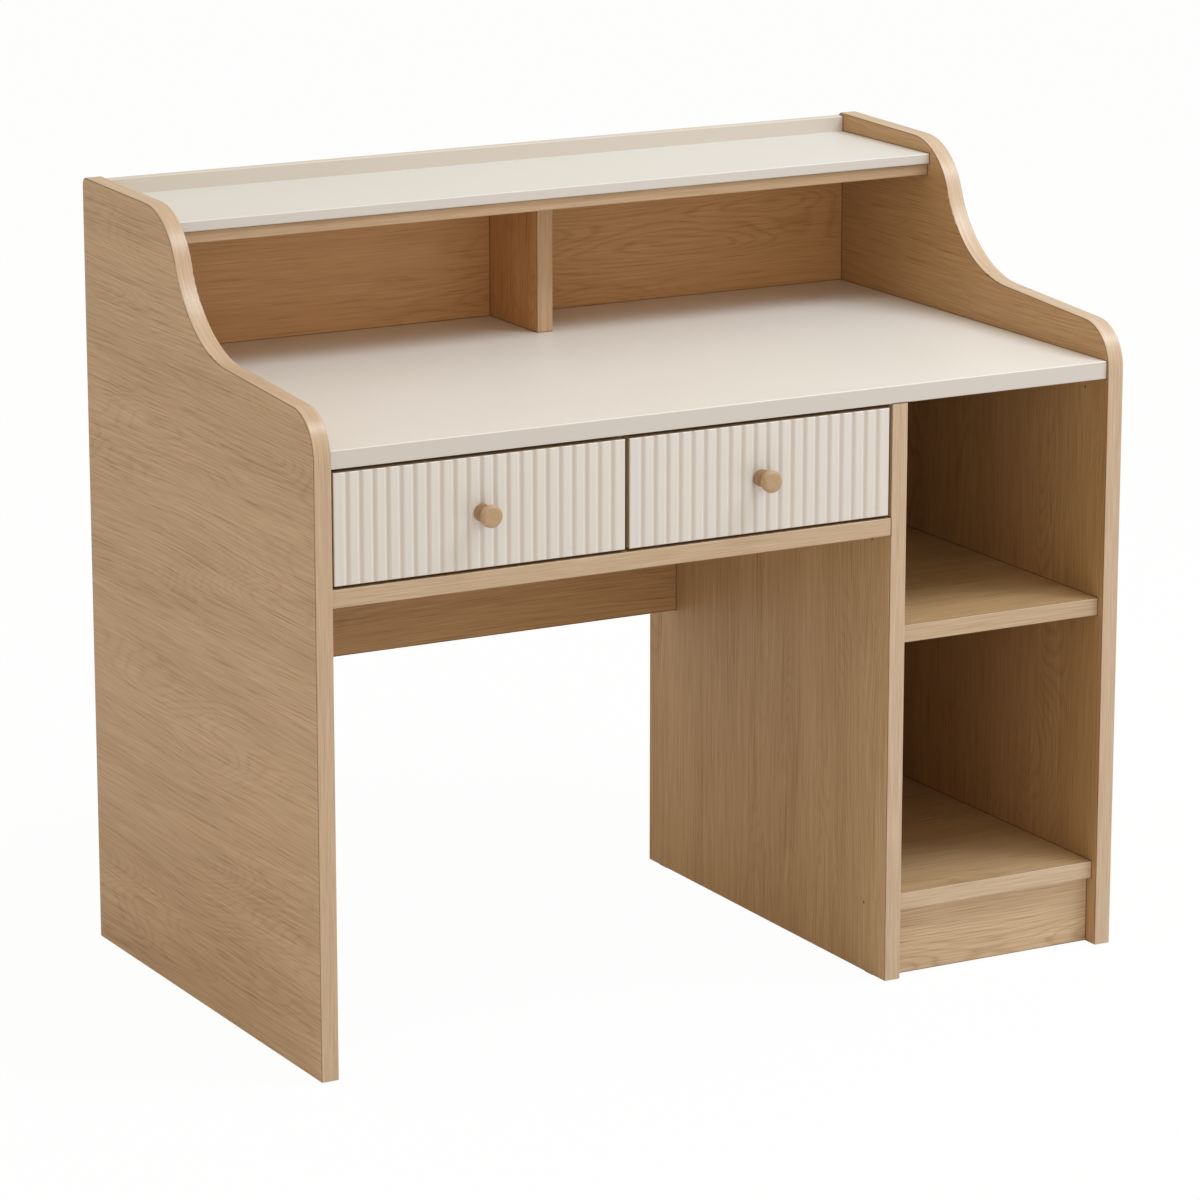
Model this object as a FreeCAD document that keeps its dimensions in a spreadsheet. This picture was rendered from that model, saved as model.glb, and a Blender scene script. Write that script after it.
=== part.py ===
import FreeCAD, Part
import math
import os
import re
from dataclasses import dataclass, field

import Sketcher
from FreeCAD import Placement, Rotation, Vector

# Student desk with a low hutch, two fluted drawers and an open cubby.
#
# The desk is laid out as a cabinet maker measures it: x runs from the outer face of the left
# side panel, y runs back from the front edge of the side panels, and z runs up from the floor.
# Every piece is drawn in that layout, and its Placement carries it to the origin of the desk:
# on the floor, in the middle of the overall width and of the overall depth, knobs included.

SIZES = {
    # carcass
    "overall_width": 1100,
    "panel_depth": 640,
    "board": 22,
    "edge_radius": 1.5,
    "front_setback": 4,
    "rear_inset": 2,
    # outline of the side panels
    "back_corner_radius": 10,
    "top_slope": 1.3,
    "top_reveal": 4,
    "brow_lead": 49,
    "brow_radius": 90,
    "sweep_radius": 154,
    "arm_slope": 3.6,
    "arm_radius": 56,
    "arm_rise": 45,
    # floor glides
    "glide_height": 3,
    "glide_length": 22,
    "glide_width": 14,
    "glide_corner_radius": 3,
    "glide_front_inset": 38,
    "glide_rear_inset": 18,
    # desk top and hutch
    "desk_height": 750,
    "desk_top_board": 22,
    "back_board": 12,
    "hutch_clear_height": 170,
    "hutch_depth": 224,
    "hutch_top_board": 13,
    "hutch_shelf_board": 15,
    "hutch_shelf_setback": 4,
    "hutch_left_bay": 531,
    "hutch_divider_depth": 128,
    "gallery_height": 20,
    "gallery_board": 12,
    # knee space, drawer bay and cubby
    "cubby_width": 286,
    "partition_inset": 45,
    "drawer_bay_height": 140,
    "left_bay_width": 374,
    "divider_clearance": 2,
    "modesty_inset": 47,
    "modesty_height": 208,
    "cubby_setback": 11,
    "lower_cubby_height": 318,
    "cubby_back_board": 12,
    "plinth_height": 85,
    "plinth_setback": 21,
    # drawer fronts
    "drawer_front": 18,
    "side_gap": 4,
    "middle_gap": 6,
    "gap_below": 3.5,
    "gap_above": 4.5,
    "front_edge_radius": 1.5,
    "flute_pitch": 17,
    "flute_groove": 7,
    "flute_depth": 1.6,
    # drawer boxes
    "box_board": 12,
    "box_headroom": 25,
    "box_lift": 15,
    "box_bottom": 5,
    "bottom_lift": 10,
    "groove_depth": 5,
    "box_overhang": 47,
    # drawer slides
    "slide_room": 12.7,
    "slide_length": 400,
    "slide_setback": 3,
    "slide_metal": 1.2,
    "cabinet_member_height": 45,
    "cabinet_member_depth": 10.5,
    "middle_member_start": 3.6,
    "middle_member_depth": 7.3,
    "drawer_member_depth": 7.2,
    "slide_clearance": 0.7,
    "slide_screw_inset": 35,
    # knobs
    "knob_projection": 29,
    "knob_base_diameter": 21,
    "knob_base_thickness": 4,
    "knob_neck_diameter": 11,
    "knob_neck_flare": 2,
    "knob_head_diameter": 27,
    "knob_head_thickness": 11,
    "knob_head_radius": 4.5,
    # fittings
    "hole_fit": 0.1,
    "row_inset": 45,
    "short_inset": 30,
    "dowel_step": 32,
    "cam_diameter": 15,
    "cam_cover": 4.5,
    "cam_setback": 34,
    "cam_cross_length": 8,
    "cam_cross_width": 2.2,
    "cam_cross_depth": 1.5,
    "bolt_diameter": 6,
    "bolt_thread": 11,
    "bolt_collar_diameter": 7,
    "bolt_collar_length": 2,
    "bolt_neck_diameter": 4.5,
    "bolt_head_length": 3,
    "dowel_diameter": 8,
    "dowel_in_panel": 10,
    "dowel_in_board": 18,
    "box_dowel_diameter": 6,
    "box_dowel_length": 20,
    "box_dowel_in_front": 8,
    "box_dowel_in_rail": 12,
    "box_joint_inset": 22,
    "screw_diameter": 3.5,
    "screw_head_diameter": 7,
    "screw_head_height": 1.6,
    "panel_screw_length": 30,
    "top_screw_length": 22,
    "top_screw_count": 4,
    "slide_screw_length": 10,
    "knob_screw_diameter": 4,
    "knob_screw_head": 8,
    "knob_screw_length": 28,
}

# Levels of the layout, as expressions of the sheet's cells.
INNER_LEFT = "board"
INNER_RIGHT = "(overall_width - board)"
CUBBY_LEFT = "(overall_width - board - cubby_width)"
BAY_RIGHT = "(overall_width - 2 * board - cubby_width)"
SPLIT_LEFT = "(board + left_bay_width)"
SPLIT_RIGHT = "(2 * board + left_bay_width)"
SPLIT = "(1.5 * board + left_bay_width)"

REAR = "(panel_depth - rear_inset)"
BACK_FACE = f"({REAR} - back_board)"
HUTCH_FRONT = f"({REAR} - hutch_depth)"
GALLERY_FRONT = f"({REAR} - gallery_board)"
SHELF_FRONT = f"({REAR} - hutch_depth + hutch_shelf_setback)"
PARTITION_REAR = f"({REAR} - partition_inset)"
RAIL_FRONT = f"({REAR} - partition_inset - modesty_inset - board)"
RAIL_REAR = f"({REAR} - partition_inset - modesty_inset)"
CUBBY_REAR = f"({REAR} - partition_inset - cubby_back_board)"
FRONT_BACK = "(front_setback + drawer_front)"
PLINTH_MIDDLE = "(plinth_setback + board / 2)"

PANEL_FOOT = "glide_height"
CUBBY_BOTTOM_UNDER = "(glide_height + plinth_height)"
CUBBY_BOTTOM = "(glide_height + plinth_height + board)"
CUBBY_SHELF_UNDER = "(glide_height + plinth_height + board + lower_cubby_height)"
CUBBY_SHELF = "(glide_height + plinth_height + 2 * board + lower_cubby_height)"
DESK_UNDER = "(desk_height - desk_top_board)"
BAY_FLOOR = f"({DESK_UNDER} - drawer_bay_height)"
FLOOR_BOARD_UNDER = f"({BAY_FLOOR} - board)"
HUTCH_CEILING = "(desk_height + hutch_clear_height)"
HUTCH_TOP_UNDER = f"({HUTCH_CEILING} + hutch_shelf_board)"
HUTCH_TOP = f"({HUTCH_TOP_UNDER} + hutch_top_board)"
GALLERY_TOP = f"({HUTCH_TOP} + gallery_height)"
OVERALL_HEIGHT = f"({GALLERY_TOP} + top_reveal)"
ARM_HEIGHT = "(desk_height + arm_rise)"

ORIGIN_X = "(overall_width / 2)"
ORIGIN_Y = "((panel_depth + front_setback - knob_projection) / 2)"

document = FreeCAD.newDocument("StudentDesk")
nodes = []


# ---------------------------------------------------------------- sheet and expressions

def make_sheet():
    """Put every driving size in a cell of its own, named by its alias."""
    sheet = document.addObject("Spreadsheet::Sheet", "Sizes")
    for row, (alias, value) in enumerate(SIZES.items(), start=1):
        sheet.set(f"A{row}", alias)
        sheet.set(f"B{row}", str(value))
        sheet.setAlias(f"B{row}", alias)
    document.recompute()
    return sheet


def in_sheet(text):
    """Point every alias in an expression at its cell in the sheet."""
    return re.sub(r"[a-z_]+", lambda word: qualified(word.group()), text)


def qualified(word):
    """Return an alias with the sheet's name before it, and any other word as it is."""
    return f"Sizes.{word}" if word in SIZES else word


def number(text):
    """Return the present value of an expression."""
    return float(sizes.evalExpression(in_sheet(text)))


def vector(point):
    """Return a point of three expressions as a vector."""
    return Vector(*[number(text) for text in point])


def near(a, b):
    """Say whether two lengths are the same to a thousandth of a millimetre."""
    return abs(a - b) < 0.001


# ---------------------------------------------------------------- sketches and features

PLANES = {"x": "YZ_Plane", "y": "XZ_Plane", "z": "XY_Plane"}
AXES_IN_PLANE = {"x": (1, 2), "y": (0, 2), "z": (0, 1)}
ALONG_NORMAL = ("+x", "-y", "+z")


def new_body(label, origin=("0", "0", "0")):
    """Start the body of a piece drawn about a point of the layout, and keep it as a node."""
    body = document.addObject("PartDesign::Body", label)
    body.Label = label
    body.setExpression("Placement.Base.x", in_sheet(f"{origin[0]} - {ORIGIN_X}"))
    body.setExpression("Placement.Base.y", in_sheet(f"{origin[1]} - {ORIGIN_Y}"))
    body.setExpression("Placement.Base.z", in_sheet(origin[2]))
    nodes.append(body)
    return body


def new_sketch(body, axis, level):
    """Add a sketch square to an axis of the layout, at a level along that axis."""
    sketch = body.newObject("Sketcher::SketchObject", f"{body.Name}_sketch")
    plane = [item for item in body.Origin.OriginFeatures if item.Role == PLANES[axis]][0]
    sketch.AttachmentSupport = (plane, "")
    sketch.MapMode = "FlatFace"
    sign = "-" if axis == "y" else ""
    sketch.setExpression("AttachmentOffset.Base.z", in_sheet(f"{sign}({level})"))
    return sketch


def bind(sketch, kind, references, start, text):
    """Add a dimension to a sketch and bind it to an expression."""
    index = sketch.addConstraint(Sketcher.Constraint(kind, *references, start))
    sketch.setExpression(f"Constraints[{index}]", in_sheet(text))


def draw_outline(sketch, corners):
    """Draw a closed outline of straight lines whose corners are pairs of expressions."""
    points = [Vector(number(a), number(b), 0) for a, b in corners]
    count = len(points)
    for index in range(count):
        sketch.addGeometry(Part.LineSegment(points[index], points[(index + 1) % count]))
    for index in range(count):
        sketch.addConstraint(Sketcher.Constraint("Coincident", index, 2, (index + 1) % count, 1))
    for index, (a, b) in enumerate(corners):
        bind(sketch, "DistanceX", (-1, 1, index, 1), points[index].x, a)
        bind(sketch, "DistanceY", (-1, 1, index, 1), points[index].y, b)


def rectangle(a, b):
    """Return the corners of the rectangle between two pairs of levels."""
    return [(a[0], b[0]), (a[1], b[0]), (a[1], b[1]), (a[0], b[1])]


def draw_circle(sketch, centre, diameter):
    """Draw a circle round a centre that is a pair of expressions."""
    point = Vector(number(centre[0]), number(centre[1]), 0)
    size = number(diameter)
    index = sketch.addGeometry(Part.Circle(point, Vector(0, 0, 1), size / 2))
    bind(sketch, "DistanceX", (-1, 1, index, 3), point.x, centre[0])
    bind(sketch, "DistanceY", (-1, 1, index, 3), point.y, centre[1])
    bind(sketch, "Diameter", (index,), size, diameter)


def pad(body, sketch, length, against_normal=False):
    """Raise a sketch into a solid."""
    feature = body.newObject("PartDesign::Pad", f"{body.Name}_pad")
    feature.Profile = sketch
    feature.setExpression("Length", in_sheet(length))
    feature.Reversed = against_normal
    document.recompute()
    return feature


def sink(body, sketch, travel, depth):
    """Cut a sketch into the body along one way of the layout, and check that it cuts."""
    before = body.Shape.Volume
    feature = body.newObject("PartDesign::Pocket", f"{body.Name}_pocket")
    feature.Profile = sketch
    feature.setExpression("Length", in_sheet(depth))
    feature.Reversed = travel in ALONG_NORMAL
    document.recompute()
    if not body.Shape.Volume < before:
        raise ValueError(f"a cut along {travel} misses {body.Label}")
    return feature


def drill(body, travel, level, points, diameter, depth):
    """Drill holes that start at a level and run along one way of the layout."""
    sketch = new_sketch(body, travel[1], level)
    first, second = AXES_IN_PLANE[travel[1]]
    for point in points:
        draw_circle(sketch, (point[first], point[second]), diameter)
    return sink(body, sketch, travel, depth)


def mill(body, travel, level, a, b, depth):
    """Mill a rectangular groove that starts at a level and runs along one way."""
    sketch = new_sketch(body, travel[1], level)
    draw_outline(sketch, rectangle(a, b))
    return sink(body, sketch, travel, depth)


def edge_names(shape, wanted):
    """Name the edges of a shape whose two ends pass a test."""
    names = []
    for index, edge in enumerate(shape.Edges, start=1):
        if wanted(edge.Vertexes[0].Point, edge.Vertexes[-1].Point):
            names.append(f"Edge{index}")
    return names


def round_edges(body, base, radius, names):
    """Round the named edges of a feature."""
    feature = body.newObject("PartDesign::Fillet", f"{body.Name}_rounding")
    feature.Base = (base, names)
    feature.setExpression("Radius", in_sheet(radius))
    document.recompute()


def make_board(label, x, y, z):
    """Make a plain rectangular board between pairs of levels."""
    body = new_body(label)
    sketch = new_sketch(body, "z", z[0])
    draw_outline(sketch, rectangle(x, y))
    pad(body, sketch, f"{z[1]} - {z[0]}")
    return body


def make_edged_board(label, x, y, z):
    """Make a board whose two long front edges are softly rounded."""
    body = make_board(label, x, y, z)
    front = number(y[0])
    lies_flat = number(f"{x[1]} - {x[0]}") > number(f"{z[1]} - {z[0]}")

    def is_long_front_edge(start, end):
        on_front = near(start.y, front) and near(end.y, front)
        return on_front and near(start.z, end.z) == lies_flat

    round_edges(body, body.Tip, "edge_radius", edge_names(body.Tip.Shape, is_long_front_edge))
    return body


# ---------------------------------------------------------------- side panels

def panel_outline():
    """Work out where the tangent lines and arcs of a side panel meet."""
    depth = number("panel_depth")
    top_lean = math.radians(number("top_slope"))
    arm_lean = math.radians(number("arm_slope"))
    corner = number("back_corner_radius")
    brow = number("brow_radius")
    sweep = number("sweep_radius")
    arm = number("arm_radius")
    top_normal = Vector(-math.sin(top_lean), math.cos(top_lean), 0)
    arm_normal = Vector(-math.sin(arm_lean), math.cos(arm_lean), 0)
    arm_along = Vector(math.cos(arm_lean), math.sin(arm_lean), 0)
    corner_centre = Vector(depth - corner, number(OVERALL_HEIGHT) - corner, 0)
    arm_centre = Vector(arm, number(ARM_HEIGHT) - arm, 0)
    brow_y = number(f"{HUTCH_FRONT} - brow_lead + brow_radius")
    brow_rise = (corner_centre - Vector(brow_y, 0, 0)).dot(top_normal) + corner - brow
    brow_centre = Vector(brow_y, brow_rise / top_normal.y, 0)
    offset = arm_centre + arm_normal * (arm + sweep) - brow_centre
    along = offset.dot(arm_along)
    reach = math.sqrt(along ** 2 - offset.dot(offset) + (brow + sweep) ** 2)
    sweep_centre = brow_centre + offset - arm_along * (along + reach)
    return {
        "corner": corner_centre,
        "brow": brow_centre,
        "sweep": sweep_centre,
        "arm": arm_centre,
        "top_start": brow_centre + top_normal * brow,
        "top_end": corner_centre + top_normal * corner,
        "inflection": brow_centre + (sweep_centre - brow_centre) * (brow / (brow + sweep)),
        "arm_start": arm_centre + arm_normal * arm,
        "arm_end": sweep_centre - arm_normal * sweep,
    }


def arc(centre, start, end):
    """Return the arc that turns anticlockwise from start to end round a centre."""
    first = start - centre
    last = end - centre
    circle = Part.Circle(centre, Vector(0, 0, 1), first.Length)
    return Part.ArcOfCircle(circle, math.atan2(first.y, first.x), math.atan2(last.y, last.x))


def draw_panel(sketch):
    """Draw the outline of a side panel: straight foot and rear, swept top and front."""
    at = panel_outline()
    foot = number(PANEL_FOOT)
    depth = number("panel_depth")
    sketch.addGeometry([
        Part.LineSegment(Vector(0, foot, 0), Vector(depth, foot, 0)),
        Part.LineSegment(Vector(depth, foot, 0), Vector(depth, at["corner"].y, 0)),
        arc(at["corner"], Vector(depth, at["corner"].y, 0), at["top_end"]),
        Part.LineSegment(at["top_start"], at["top_end"]),
        arc(at["brow"], at["top_start"], at["inflection"]),
        arc(at["sweep"], at["arm_end"], at["inflection"]),
        Part.LineSegment(at["arm_start"], at["arm_end"]),
        arc(at["arm"], at["arm_start"], Vector(0, at["arm"].y, 0)),
        Part.LineSegment(Vector(0, foot, 0), Vector(0, at["arm"].y, 0)),
    ])
    foot_line, rear, corner, top, brow, sweep, arm_line, arm, front = range(9)
    sketch.addConstraint([
        Sketcher.Constraint("Horizontal", foot_line),
        Sketcher.Constraint("Vertical", rear),
        Sketcher.Constraint("Vertical", front),
        Sketcher.Constraint("Coincident", foot_line, 2, rear, 1),
        Sketcher.Constraint("Coincident", foot_line, 1, front, 1),
        Sketcher.Constraint("Tangent", rear, 2, corner, 1),
        Sketcher.Constraint("Tangent", corner, 2, top, 2),
        Sketcher.Constraint("Tangent", top, 1, brow, 1),
        Sketcher.Constraint("Tangent", brow, 2, sweep, 2),
        Sketcher.Constraint("Tangent", sweep, 1, arm_line, 2),
        Sketcher.Constraint("Tangent", arm_line, 1, arm, 1),
        Sketcher.Constraint("Tangent", arm, 2, front, 2),
    ])
    bind(sketch, "DistanceX", (-1, 1, foot_line, 1), 0, "0")
    bind(sketch, "DistanceY", (-1, 1, foot_line, 1), foot, PANEL_FOOT)
    bind(sketch, "DistanceX", (-1, 1, foot_line, 2), depth, "panel_depth")
    bind(sketch, "DistanceY", (-1, 1, corner, 3), at["corner"].y,
         f"{OVERALL_HEIGHT} - back_corner_radius")
    bind(sketch, "DistanceX", (-1, 1, brow, 3), at["brow"].x,
         f"{HUTCH_FRONT} - brow_lead + brow_radius")
    bind(sketch, "DistanceY", (-1, 1, arm, 3), at["arm"].y, f"{ARM_HEIGHT} - arm_radius")
    radii = {
        corner: "back_corner_radius",
        brow: "brow_radius",
        sweep: "sweep_radius",
        arm: "arm_radius",
    }
    for curve, radius in radii.items():
        bind(sketch, "Radius", (curve,), number(radius), radius)
    for line, slope in {top: "top_slope", arm_line: "arm_slope"}.items():
        bind(sketch, "Angle", (line,), math.radians(number(slope)), slope)


def make_side_panel(label, outer):
    """Make a side panel that starts at a level of x, rounded all along but at its foot."""
    body = new_body(label)
    sketch = new_sketch(body, "x", outer)
    draw_panel(sketch)
    solid = pad(body, sketch, "board")
    foot = number(PANEL_FOOT)

    def follows_outline(start, end):
        on_foot = near(start.z, foot) and near(end.z, foot)
        return near(start.x, end.x) and not on_foot

    round_edges(body, solid, "edge_radius", edge_names(solid.Shape, follows_outline))
    return body


# ---------------------------------------------------------------- fittings

WAYS = {
    "+x": Vector(1, 0, 0), "-x": Vector(-1, 0, 0),
    "+y": Vector(0, 1, 0), "-y": Vector(0, -1, 0),
    "+z": Vector(0, 0, 1), "-z": Vector(0, 0, -1),
}
OPPOSITE = {"+x": "-x", "-x": "+x", "+y": "-y", "-y": "+y", "+z": "-z", "-z": "+z"}
SCREW_HOLE = "screw_diameter + 2 * hole_fit"
HEAD_HOLE = "screw_head_diameter + 2 * hole_fit"

cam_bolts = []
cam_locks = []
wood_dowels = []


def rod(diameter, start, end):
    """Return a round bar along x from start to end."""
    return Part.makeCylinder(diameter / 2, end - start, Vector(start, 0, 0), Vector(1, 0, 0))


def make_bolt():
    """Return a cam bolt along x: its thread below 0, then collar, neck and head."""
    wide = number("bolt_diameter")
    collar_end = number("bolt_collar_length")
    tip = number("cam_setback")
    head_start = tip - number("bolt_head_length")
    thread = rod(wide, -number("bolt_thread"), 0)
    collar = rod(number("bolt_collar_diameter"), 0, collar_end)
    neck = rod(number("bolt_neck_diameter"), collar_end, head_start)
    return thread.fuse([collar, neck, rod(wide, head_start, tip)]).removeSplitter()


def make_cam(depth):
    """Return a cam round z whose open face lies a depth below the axis of its bolt."""
    centre = number("cam_setback")
    wide = number("cam_diameter")
    slot = number("bolt_diameter + 2 * hole_fit")
    length = number("cam_cross_length")
    width = number("cam_cross_width")
    deep = number("cam_cross_depth")
    housing = Part.makeCylinder(wide / 2, depth + number("cam_cover"), Vector(centre, 0, -depth))
    bore = rod(slot, centre - wide, centre + slot / 2)
    bars = [
        Part.makeBox(length, width, deep, Vector(centre - length / 2, -width / 2, -depth)),
        Part.makeBox(width, length, deep, Vector(centre - width / 2, -length / 2, -depth)),
    ]
    return housing.cut([bore] + bars)


def make_screw(length, diameter="screw_diameter", head="screw_head_diameter"):
    """Return a flat-headed screw along x, its head below 0 and its shank above."""
    cap = rod(number(head), -number("screw_head_height"), 0)
    return cap.fuse(rod(number(diameter), 0, number(length))).removeSplitter()


def make_dowel(diameter, length, sunk):
    """Return a dowel along x that is sunk below 0 by a part of its length."""
    return rod(number(diameter), -number(sunk), number(f"{length} - {sunk}"))


def laid(shape, travel, point, across=None):
    """Return a copy of a shape with its x along one way, its z along another, at a point."""
    along = WAYS[travel]
    up = WAYS[across or ("+x" if travel[1] == "z" else "+z")]
    copy = shape.copy()
    copy.Placement = Placement(vector(point), Rotation(along, up.cross(along), up, "XZY"))
    return copy


def make_group(label, shapes):
    """Keep loose solids of one kind together as one node."""
    group = document.addObject("Part::Feature", label)
    group.Label = label
    group.Shape = Part.makeCompound(shapes)
    group.Placement = Placement(vector((f"-{ORIGIN_X}", f"-{ORIGIN_Y}", "0")), Rotation())
    nodes.append(group)


@dataclass
class Joint:
    """One end of a board held to the face of another by dowels and, often, cam bolts.

    The joint lies at a level, and its bolts run into the board along the travel. The cams
    are let into the board's face at cam_level and run along cam_travel.
    """

    board: object
    panel: object
    travel: str
    level: str
    dowels: list
    bolts: list = field(default_factory=list)
    cam_travel: str = ""
    cam_level: str = ""

    def inside(self, point, depth="0"):
        """Return a point of the joint, a depth inside the board."""
        moved = list(point)
        moved["xyz".index(self.travel[1])] = f"({self.level} {self.travel[0]} {depth})"
        return moved

    def drill_both(self, points, board_hole, board_depth, panel_hole, panel_depth):
        """Drill the same row of points into the board's end and into the panel's face."""
        drill(self.board, self.travel, self.level, points, board_hole, board_depth)
        drill(self.panel, OPPOSITE[self.travel], self.level, points, panel_hole, panel_depth)

    def fit_dowels(self):
        """Drill for the dowels and lay them in."""
        hole = "dowel_diameter + 2 * hole_fit"
        self.drill_both(self.dowels, hole, "dowel_in_board + hole_fit",
                        hole, "dowel_in_panel + hole_fit")
        dowel = make_dowel("dowel_diameter", "(dowel_in_board + dowel_in_panel)",
                           "dowel_in_panel")
        for point in self.dowels:
            wood_dowels.append(laid(dowel, self.travel, self.inside(point)))

    def fit_cams(self):
        """Drill for the cam bolts and their cams and lay them in."""
        self.drill_both(self.bolts, "bolt_collar_diameter + 2 * hole_fit", "cam_setback",
                        "bolt_diameter + 2 * hole_fit", "bolt_thread + hole_fit")
        bolt = make_bolt()
        axis = "xyz".index(self.cam_travel[1])
        depth_text = f"abs({self.bolts[0][axis]} - {self.cam_level})"
        cam = make_cam(number(depth_text))
        centres = [self.inside(point, "cam_setback") for point in self.bolts]
        drill(self.board, self.cam_travel, self.cam_level, centres,
              "cam_diameter + 2 * hole_fit", f"{depth_text} + cam_cover + hole_fit")
        for point in self.bolts:
            place = self.inside(point)
            cam_bolts.append(laid(bolt, self.travel, place, self.cam_travel))
            cam_locks.append(laid(cam, self.travel, place, self.cam_travel))

    def fasten(self):
        """Drill and fill every hole of the joint."""
        self.fit_dowels()
        if self.bolts:
            self.fit_cams()


# ---------------------------------------------------------------- carcass

def make_carcass():
    """Make the upright and level boards of the desk and return them by name."""
    across = (INNER_LEFT, INNER_RIGHT)
    bay = (INNER_LEFT, BAY_RIGHT)
    cubby = (CUBBY_LEFT, INNER_RIGHT)
    cubby_y = ("cubby_setback", CUBBY_REAR)
    layout = {
        "partition_panel": (
            (BAY_RIGHT, CUBBY_LEFT), ("front_setback", PARTITION_REAR), (PANEL_FOOT, DESK_UNDER)),
        "desk_top": (across, ("front_setback", BACK_FACE), (DESK_UNDER, "desk_height")),
        "hutch_back_panel": (across, (BACK_FACE, REAR), (DESK_UNDER, HUTCH_CEILING)),
        "hutch_shelf_board": (across, (SHELF_FRONT, REAR), (HUTCH_CEILING, HUTCH_TOP_UNDER)),
        "hutch_top_board": (
            across, (HUTCH_FRONT, GALLERY_FRONT), (HUTCH_TOP_UNDER, HUTCH_TOP)),
        "hutch_gallery_rail": (across, (GALLERY_FRONT, REAR), (HUTCH_TOP_UNDER, GALLERY_TOP)),
        "hutch_divider": (
            ("(board + hutch_left_bay)", "(2 * board + hutch_left_bay)"),
            (f"({BACK_FACE} - hutch_divider_depth)", BACK_FACE), ("desk_height", HUTCH_CEILING)),
        "drawer_floor_board": (
            bay, ("front_setback", PARTITION_REAR), (FLOOR_BOARD_UNDER, BAY_FLOOR)),
        "drawer_divider_panel": (
            (SPLIT_LEFT, SPLIT_RIGHT), (f"({FRONT_BACK} + divider_clearance)", PARTITION_REAR),
            (BAY_FLOOR, DESK_UNDER)),
        "rear_modesty_rail": (
            bay, (RAIL_FRONT, RAIL_REAR),
            (f"({FLOOR_BOARD_UNDER} - modesty_height)", FLOOR_BOARD_UNDER)),
        "cubby_shelf": (cubby, cubby_y, (CUBBY_SHELF_UNDER, CUBBY_SHELF)),
        "cubby_bottom_board": (cubby, cubby_y, (CUBBY_BOTTOM_UNDER, CUBBY_BOTTOM)),
        "cubby_plinth": (
            cubby, ("plinth_setback", "(plinth_setback + board)"),
            (PANEL_FOOT, CUBBY_BOTTOM_UNDER)),
        "cubby_back_panel": (cubby, (CUBBY_REAR, PARTITION_REAR), (PANEL_FOOT, DESK_UNDER)),
    }
    boards = {
        "left_side_panel": make_side_panel("left_side_panel", "0"),
        "right_side_panel": make_side_panel("right_side_panel", INNER_RIGHT),
    }
    for label, (x, y, z) in layout.items():
        boards[label] = make_edged_board(label, x, y, z)
    return boards


def both_ends(board, left, right, x, dowels, **cams):
    """Return the joints at the left and right ends of a board between two uprights."""
    return [
        Joint(board, left, "+x", x[0], dowels, **cams),
        Joint(board, right, "-x", x[1], dowels, **cams),
    ]


def level_joints(board, left, right, x, y, z):
    """Return the end joints of a level board, with its cams let in from below."""
    middle = f"(({z[0]} + {z[1]}) / 2)"
    bolts = [("0", f"({y[0]} + row_inset)", middle), ("0", f"({y[1]} - row_inset)", middle)]
    dowels = [
        ("0", f"({y[0]} + row_inset + dowel_step)", middle),
        ("0", f"({y[1]} - row_inset - dowel_step)", middle),
    ]
    return both_ends(board, left, right, x, dowels, bolts=bolts, cam_travel="+z", cam_level=z[0])


def rail_joints(boards):
    """Return the end joints of the modesty rail, with its cams in its rear face."""
    middle = f"(({RAIL_FRONT} + {RAIL_REAR}) / 2)"
    low = f"({FLOOR_BOARD_UNDER} - modesty_height + short_inset)"
    high = f"({FLOOR_BOARD_UNDER} - short_inset)"
    dowels = [("0", middle, f"({low} + dowel_step)"), ("0", middle, f"({high} - dowel_step)")]
    return both_ends(boards["rear_modesty_rail"], boards["left_side_panel"],
                     boards["partition_panel"], (INNER_LEFT, BAY_RIGHT), dowels,
                     bolts=[("0", middle, low), ("0", middle, high)],
                     cam_travel="-y", cam_level=RAIL_REAR)


def upright_joints(boards):
    """Return the joints of the uprights that stand under and on the desk top."""
    desk = boards["desk_top"]
    divider = boards["drawer_divider_panel"]
    hutch_divider = boards["hutch_divider"]
    partition_x = f"({BAY_RIGHT} + board / 2)"
    hutch_x = "(1.5 * board + hutch_left_bay)"
    rows = ("(front_setback + row_inset)", f"({PARTITION_REAR} - row_inset)")
    inner_rows = (f"({rows[0]} + dowel_step)", f"({rows[1]} - dowel_step)")
    divider_dowels = [(SPLIT, row, "0") for row in inner_rows]
    hutch_dowels = [
        (hutch_x, f"({BACK_FACE} - hutch_divider_depth + short_inset)", "0"),
        (hutch_x, f"({BACK_FACE} - short_inset)", "0"),
    ]
    return [
        Joint(boards["partition_panel"], desk, "-z", DESK_UNDER,
              [(partition_x, row, "0") for row in inner_rows],
              [(partition_x, row, "0") for row in rows], "-x", CUBBY_LEFT),
        Joint(divider, desk, "-z", DESK_UNDER, divider_dowels),
        Joint(divider, boards["drawer_floor_board"], "+z", BAY_FLOOR, divider_dowels),
        Joint(hutch_divider, desk, "+z", "desk_height", hutch_dowels),
        Joint(hutch_divider, boards["hutch_shelf_board"], "-z", HUTCH_CEILING, hutch_dowels),
    ]


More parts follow.
